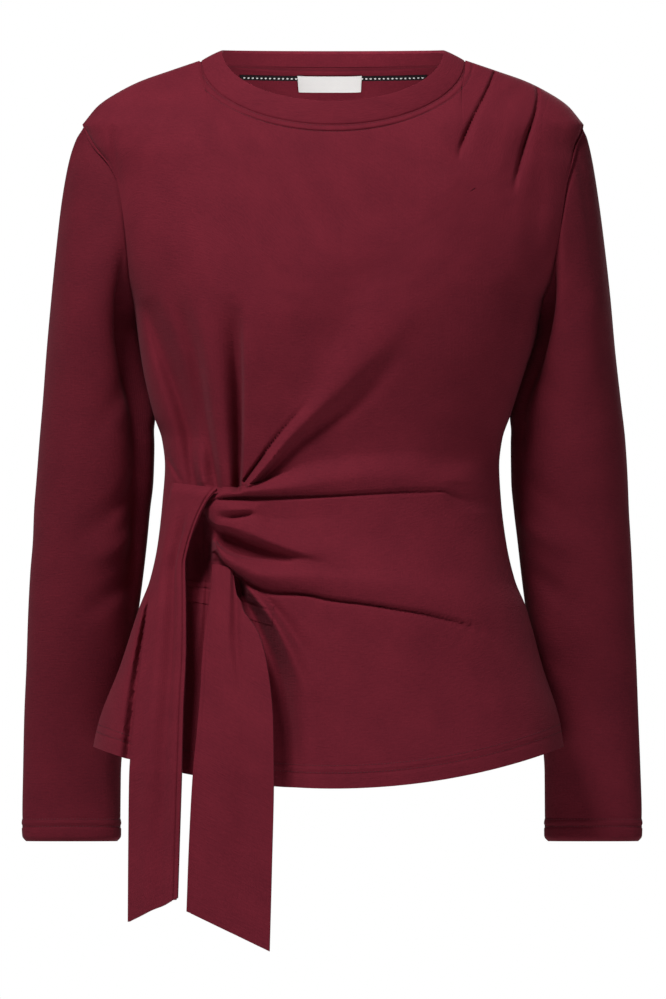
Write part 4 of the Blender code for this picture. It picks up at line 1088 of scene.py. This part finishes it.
def side_tie_relief(share, x, z):
    """Edge seam near the right edge, a long soft hollow down its middle, and the turn at the knot."""
    hollow = 0.50 + 0.08 * ease((-400 - z) / 70)
    fading = 1 - 0.5 * ease((-540 - z) / 140)
    relief = -4.6 * crease(share, hollow + 0.04, 0.13) * ease((-376 - z) / 30) * fading
    relief += 1.6 * crease(share, hollow - 0.22, 0.14) * ease((-376 - z) / 30) * fading
    relief += 2.6 * np.exp(-(((z + 366.0) / 7.0) ** 2)) * ease(share / 0.1)
    relief -= 1.3 * crease(share, 0.915, 0.016)
    relief += 0.5 * np.sin(z / 31.0) * crease(share, 0.5, 0.4) * ease((-600 - z) / 60)
    return relief


def drape_tie_relief(share, x, z):
    """A rounded fold down its left side whose sharp right edge runs out towards the hem."""
    fading = 1 - ease((-478 - z) / 70)
    edge = -82.4 + 5.0 * ease((-480 - z) / 60)
    fold = ease((edge - x) / 1.8)
    relief = fading * (3.0 * fold - 2.4 * np.exp(-(((x - edge - 2.0) / 3.0) ** 2)))
    relief += 1.6 * crease(share, 0.3, 0.22) * (1 - ease((-640 - z) / 80))
    relief -= 1.2 * crease(share, 0.62, 0.10) * ease((-540 - z) / 60) * (1 - 0.5 * ease((-660 - z) / 60))
    relief -= 0.7 * crease(share, 0.035, 0.012)
    return relief


tie_side = make_strap("side_tie_strap", SIDE_TIE, 330, side_tie_relief, "tie_side")
tie_drape = make_strap("drape_tie_strap", DRAPE_TIE, 300, drape_tie_relief, "tie_drape")

# THE STITCHES
# A twin needle sews two rows of burgundy thread round the hem and both cuffs, 13 and 19 mm up. Two
# more rows hold the pressed seam below the neckband. All of them pull into the cloth.

burgundy_thread = sewing_thread("burgundy_polyester_thread", "#3a141d", "#6e2c39")


def line_at(points, normals, heights, level, columns=None):
    """Path over a grid of cloth at one height from its hem, and the cloth's directions along it."""
    columns = range(points.shape[1]) if columns is None else columns

    def read(values):
        """The values where each column crosses the height."""
        return np.array([
            [np.interp(level, heights[::-1, j], values[::-1, j, axis]) for axis in range(3)]
            for j in columns
        ])

    return read(points), read(normals)


front_normals = surface_normals(front_points)
back_normals = surface_normals(back_points)
for row, level in enumerate(HEM_ROWS):
    for name, points, normals, heights in (
        ("front_hem", front_points, front_normals, front_heights),
        ("back_hem", back_points, back_normals, back_heights),
        ("cuff_right", right_points, right_normals, right_heights),
        ("cuff_left", left_points, left_normals, left_heights),
    ):
        path, out = line_at(points, normals, heights, level)
        sew(f"{name}_stitches_{row + 1}", path, out, 2.6, 1.7, 0.6, 0.1, burgundy_thread)
for name, points, normals, heights, across in (
    ("neck_front", front_points, front_normals, front_heights, TOP_ACROSS),
    ("neck_back", back_points, back_normals, back_heights, BACK_ACROSS[::-1]),
):
    away = from_neck(points)
    for row, (level, share) in enumerate(zip(NECK_ROWS, (0.418, 0.455))):
        path, out = line_at(points, normals, -away, -level, np.flatnonzero(np.abs(across) < share))
        sew(f"{name}_stitches_{row + 1}", path, out, 2.4, 1.6, 0.6, 0.08, burgundy_thread)

# THE STUDIO
# A pale floor far below and a white surround. One soft box is at the upper left of the camera, weaker
# ones are at its right and behind the garment, and the camera looks straight on from far away.

bpy.ops.object.select_all(action="DESELECT")
bpy.ops.mesh.primitive_plane_add(size=7.0, location=(0.0, 0.0, -1.42))
floor = bpy.context.active_object
floor.name = "studio_floor"
paper, _, paper_shader = new_material("white_studio_paper")
paper_shader.inputs["Base Color"].default_value = linear("#f4f4f3")
paper_shader.inputs["Roughness"].default_value = 0.9
floor.data.materials.append(paper)


def soft_light(name, place, aim, size, power):
    """A square soft box aimed at a point of the garment."""
    light = bpy.data.lights.new(name, "AREA")
    light.shape = "SQUARE"
    light.size = size
    light.energy = power
    box = bpy.data.objects.new(name, light)
    bpy.context.scene.collection.objects.link(box)
    box.location = place
    run = np.array(aim) - np.array(place)
    tilt = math.acos(-run[2] / np.linalg.norm(run))
    box.rotation_euler = (tilt, 0.0, math.atan2(run[1], run[0]) - math.pi / 2)
    return box


soft_light("key_box", (-1.32, -2.08, 2.8), (0.0, 0.0, -0.35), 1.0, 138.0)
soft_light("fill_box", (2.4, -2.6, 0.6), (0.0, 0.0, -0.35), 1.8, 12.5)
soft_light("rear_box", (0.6, 3.2, 1.0), (0.0, 0.0, -0.35), 2.0, 50.0)

# A small strip in the neck opening stands for light that the floor and walls send into it
inner = soft_light("inside_neck_strip", (0.0, -0.035, -0.062), (0.0, 0.06, -0.012), 0.12, 0.13)
inner.data.shape = "RECTANGLE"
inner.data.size_y = 0.015
inner.visible_camera = False

world = bpy.data.worlds.new("white_surround")
world.use_nodes = True
bpy.context.scene.world = world
surround = world.node_tree
surround.nodes.clear()
seen = add_node(surround, "ShaderNodeBackground", {}, {"Color": (1.0, 1.0, 1.0, 1.0), "Strength": 1.0})
glow = add_node(surround, "ShaderNodeBackground", {}, {"Color": (1.0, 1.0, 1.0, 1.0), "Strength": 0.065})
ray = add_node(surround, "ShaderNodeLightPath")
mixed = add_node(
    surround, "ShaderNodeMixShader", {}, {},
    {0: ray.outputs["Is Camera Ray"], 1: glow.outputs[0], 2: seen.outputs[0]},
)
add_node(surround, "ShaderNodeOutputWorld", {}, {}, {"Surface": mixed.outputs[0]})
bpy.context.scene.view_settings.view_transform = "Standard"

CAMERA_AWAY = 20.0
FRAME_HEIGHT = 0.829
lens = bpy.data.cameras.new("studio_camera")
lens.lens = 36.0 * CAMERA_AWAY / FRAME_HEIGHT
camera = bpy.data.objects.new("studio_camera", lens)
bpy.context.scene.collection.objects.link(camera)
camera.location = (0.0, -CAMERA_AWAY, -0.3731)
camera.rotation_euler = (math.pi / 2, 0.0, 0.0)
bpy.context.scene.camera = camera
